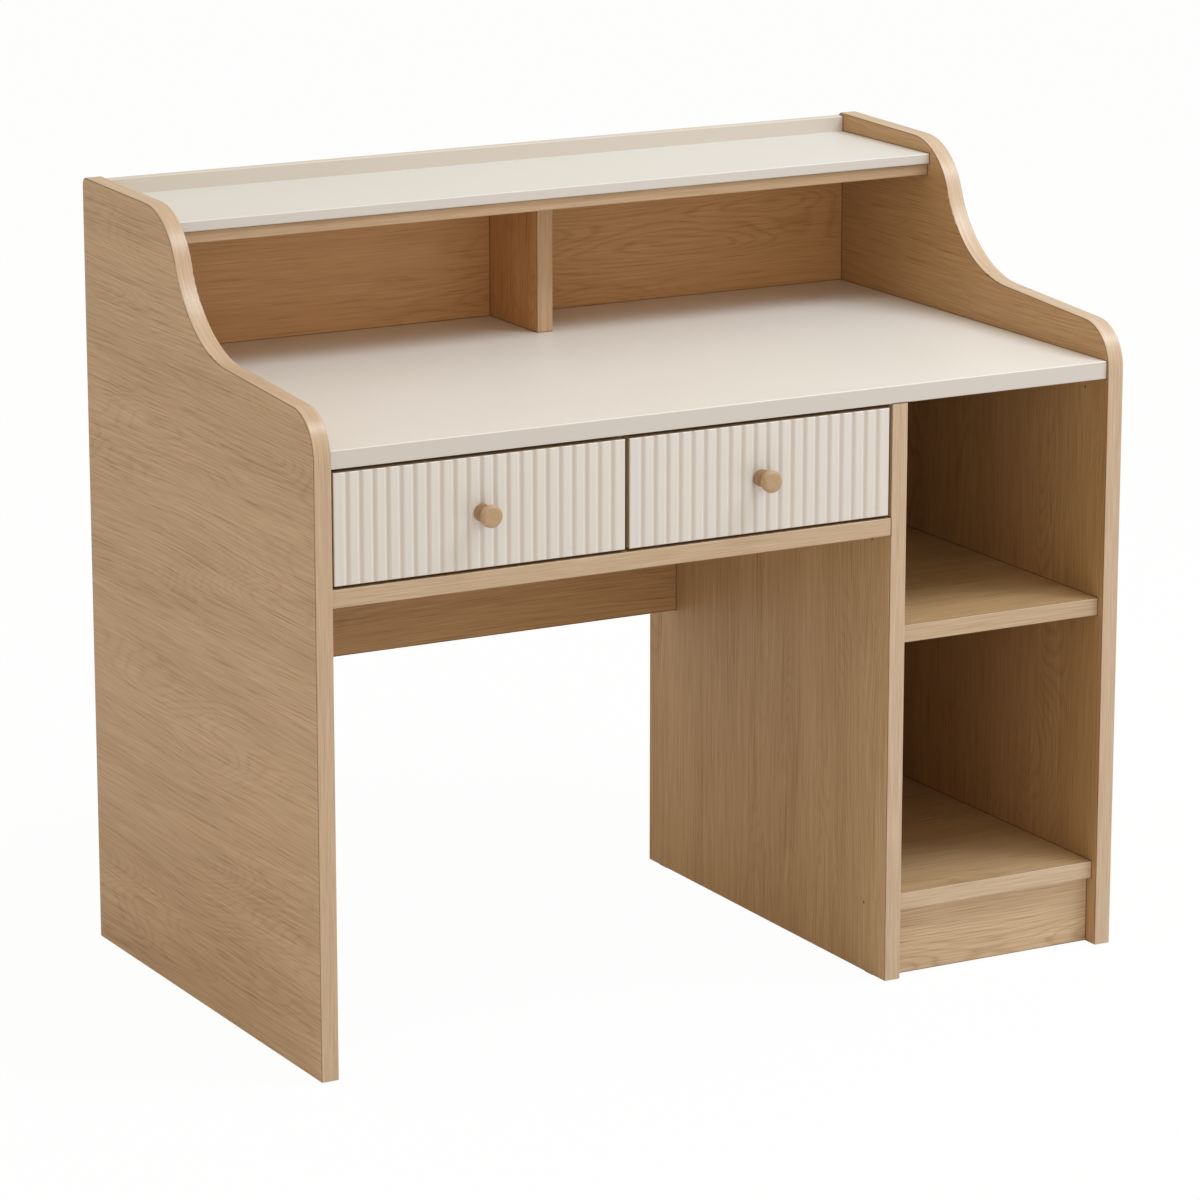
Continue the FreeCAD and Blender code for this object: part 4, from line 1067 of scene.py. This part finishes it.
@dataclass
class Drawer:
    """One drawer: its fluted front, its knob, its box and its slides."""

    name: str
    flute_pitch: float = 17 * MM
    flute_steps: int = 26
    groove_width: float = 7.4 * MM
    groove_depth: float = 1.6 * MM
    edge_radius: float = 1.5 * MM
    edge_steps: int = 5
    ease: float = 1.2 * MM
    crease: float = 40.0

    def build_front(self, group: NodeTree, finish: Material) -> None:
        """Grow the fluted front and show it for the plain one.

        Args:
            group: the flute tree.
            finish: the front's paint.
        """
        node = f"{self.name}_front"
        low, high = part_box(node)
        size = high - low
        ribs = round(size.x / self.flute_pitch)
        piece = grow(f"{node}_fluted", group, {
            "Corner": tuple(low), "Width": size.x, "Height": size.z, "Thickness": size.y,
            "Ribs": ribs, "Steps": self.flute_steps, "Groove Width": self.groove_width,
            "Groove Depth": self.groove_depth, "Edge Radius": self.edge_radius,
            "Edge Steps": self.edge_steps, "Ease": self.ease, "Finish": finish,
        })
        tidy_mesh(piece, 2 * WELD, self.crease)
        stand_for(piece, node, self.name)
        log.info("%s: %d ribs, %d faces", piece.name, ribs, len(piece.data.polygons))

    def dress(self, finishes: dict[str, Material]) -> None:
        """Give the drawer's nodes their finishes.

        Args:
            finishes: the desk's finishes.
        """
        for part in ("left_side", "right_side", "back", "bottom"):
            dress(f"{self.name}_{part}", finishes["drawer_board"])
        for part in ("box_slide", "middle_slide", "cabinet_slide"):
            for side in ("left", "right"):
                dress(f"{self.name}_{part}_{side}", finishes["slide_steel"])
        dress(f"{self.name}_knob", finishes["knob_wood"])
        dress(f"{self.name}_front", finishes["cream_paint"])
        dress(f"{self.name}_front_dowels", finishes["dowel_wood"])
        log.info("%s: box, knob and slides dressed", self.name)

    def screws(self) -> list[Screws]:
        """Return the drawer's screws and the body that each group is driven into."""
        bodies = {"back_screws": self.name, "box_slide_screws": self.name,
                  "knob_screw": self.name, "cabinet_slide_screws": "desk"}
        return [Screws(f"{self.name}_{part}", body) for part, body in bodies.items()]


@dataclass
class Fittings:
    """The dowels, cams, glides and screws of the carcass."""

    looks: dict[str, str] = field(default_factory=lambda: {
        "wood_dowels": "dowel_wood", "gallery_dowels": "dowel_wood", "cam_bolts": "cast_zinc",
        "cam_locks": "cast_zinc", "floor_glides": "glide_plastic",
    })
    screw_nodes: tuple[str, ...] = ("cubby_back_screws", "hutch_top_screws")

    def dress(self, finishes: dict[str, Material]) -> None:
        """Give the fittings their finishes.

        Args:
            finishes: the desk's finishes.
        """
        for name, look in self.looks.items():
            dress(name, finishes[look])
        log.info("fittings: dowels, cams and glides dressed")

    def screws(self) -> list[Screws]:
        """Return the carcass's own screws."""
        return [Screws(name, "desk") for name in self.screw_nodes]


# ---- studio

@dataclass(frozen=True)
class Softbox:
    """A square soft light that faces the desk."""

    name: str
    azimuth: float
    elevation: float
    power: float
    colour: Colour
    distance: float = 4.0
    side: float = 1.3

    def hang(self, centre: Triple) -> None:
        """Hang the light where it looks at a point.

        Args:
            centre: the point.
        """
        lamp = bpy.data.lights.new(self.name, "AREA")
        lamp.shape, lamp.size = "SQUARE", self.side
        lamp.energy, lamp.color = self.power, self.colour
        light = add_object(self.name, lamp)
        turn, lift = math.radians(self.azimuth), math.radians(self.elevation)
        away = Vector((math.sin(turn) * math.cos(lift), -math.cos(turn) * math.cos(lift),
                       math.sin(lift)))
        light.location = Vector(centre) + away * self.distance
        light.rotation_mode = "QUATERNION"
        light.rotation_quaternion = away.to_track_quat("Z", "Y")
        log.info("%s: %.0f W", self.name, self.power)


@dataclass
class Studio:
    """The pale floor, the soft lights and the camera."""

    centre: Triple = (0.0, 0.0, 0.48)
    floor_radius: float = 40.0
    floor_segments: int = 96
    floor_colour: Colour = (0.90, 0.89, 0.88)
    shadow_share: float = 0.03
    ambient: float = 0.70
    ambient_colour: Colour = (1.0, 0.885, 0.735)
    camera_place: Triple = (-3.026, -5.4635, 2.015)
    yaw: float = 28.88
    pitch: float = 14.10
    lens: float = 155.94
    sensor: float = 36.0
    clip: tuple[float, float] = (0.1, 200.0)
    softboxes: tuple[Softbox, ...] = (
        Softbox("high_key_softbox", 36.0, 63.0, 44.0, (0.92, 1.0, 1.08)),
        Softbox("side_key_softbox", 55.0, 50.0, 42.0, (0.88, 1.0, 1.14)),
    )

    def lay_floor(self) -> None:
        """Lay a wide round floor that shows almost white, with a faint shadow."""
        mesh = bpy.data.meshes.new("studio_floor")
        work = bmesh.new()
        bmesh.ops.create_circle(work, cap_ends=True, radius=self.floor_radius,
                                segments=self.floor_segments)
        work.to_mesh(mesh)
        work.free()
        floor = add_object("studio_floor", mesh)
        material = bpy.data.materials.new("floor_white")
        tree = emptied(material)
        matte = tree.out("ShaderNodeBsdfPrincipled", {
            "Base Color": self.floor_colour, "Roughness": 0.9, "Specular IOR Level": 0.0,
        })
        glow = tree.out("ShaderNodeEmission", {"Color": WHITE})
        seen = tree.out("ShaderNodeLightPath", output="Is Camera Ray")
        blend = tree.out("ShaderNodeMixShader", {0: seen * (1.0 - self.shadow_share), 1: matte,
                                                 2: glow})
        tree.add("ShaderNodeOutputMaterial", {"Surface": blend})
        mesh.materials.append(material)

    def light_room(self) -> None:
        """Fill the room with even light and hang the softboxes."""
        world = bpy.data.worlds.new("studio_room")
        bpy.context.scene.world = world
        tree = emptied(world)
        seen = tree.out("ShaderNodeLightPath", output="Is Camera Ray")
        sky = tree.out("ShaderNodeBackground", {
            "Color": tree.mix(seen, self.ambient_colour, WHITE),
            "Strength": seen * (1.0 - self.ambient) + self.ambient,
        })
        tree.add("ShaderNodeOutputWorld", {"Surface": sky})
        for softbox in self.softboxes:
            softbox.hang(self.centre)

    def set_camera(self) -> None:
        """Stand the camera to the left of the desk, a little above it."""
        lens = bpy.data.cameras.new("studio_camera")
        lens.lens, lens.sensor_width = self.lens, self.sensor
        lens.clip_start, lens.clip_end = self.clip
        camera = add_object("studio_camera", lens)
        camera.location = self.camera_place
        camera.rotation_euler = (math.radians(90.0 - self.pitch), 0.0, -math.radians(self.yaw))
        bpy.context.scene.camera = camera

    def build(self) -> None:
        """Make the whole studio."""
        self.lay_floor()
        self.light_room()
        self.set_camera()
        bpy.context.scene.view_settings.view_transform = "Standard"


def main() -> None:
    """Dress the desk piece by piece, then set up the studio."""
    logging.basicConfig(level=logging.INFO, format="%(name)s %(message)s")
    Studio().build()
    effects = Effects()
    finishes = make_finishes(effects)
    carcass, tops, fittings = Carcass(), Tops(), Fittings()
    carcass.dress(effects, (*carcass.looks, *tops.looks))
    tops.dress(effects, tuple(carcass.looks))
    fittings.dress(finishes)
    screws = fittings.screws()
    flute_tree = make_flute_tree()
    for name in ("left_drawer", "right_drawer"):
        drawer = Drawer(name)
        drawer.build_front(flute_tree, finishes["cream_paint"])
        drawer.dress(finishes)
        screws += drawer.screws()
    screw_tree = make_screw_tree()
    for group in screws:
        group.build(screw_tree, finishes["screw_steel"])
        dress(group.node, finishes["screw_steel"])


if __name__ == "__main__":
    main()
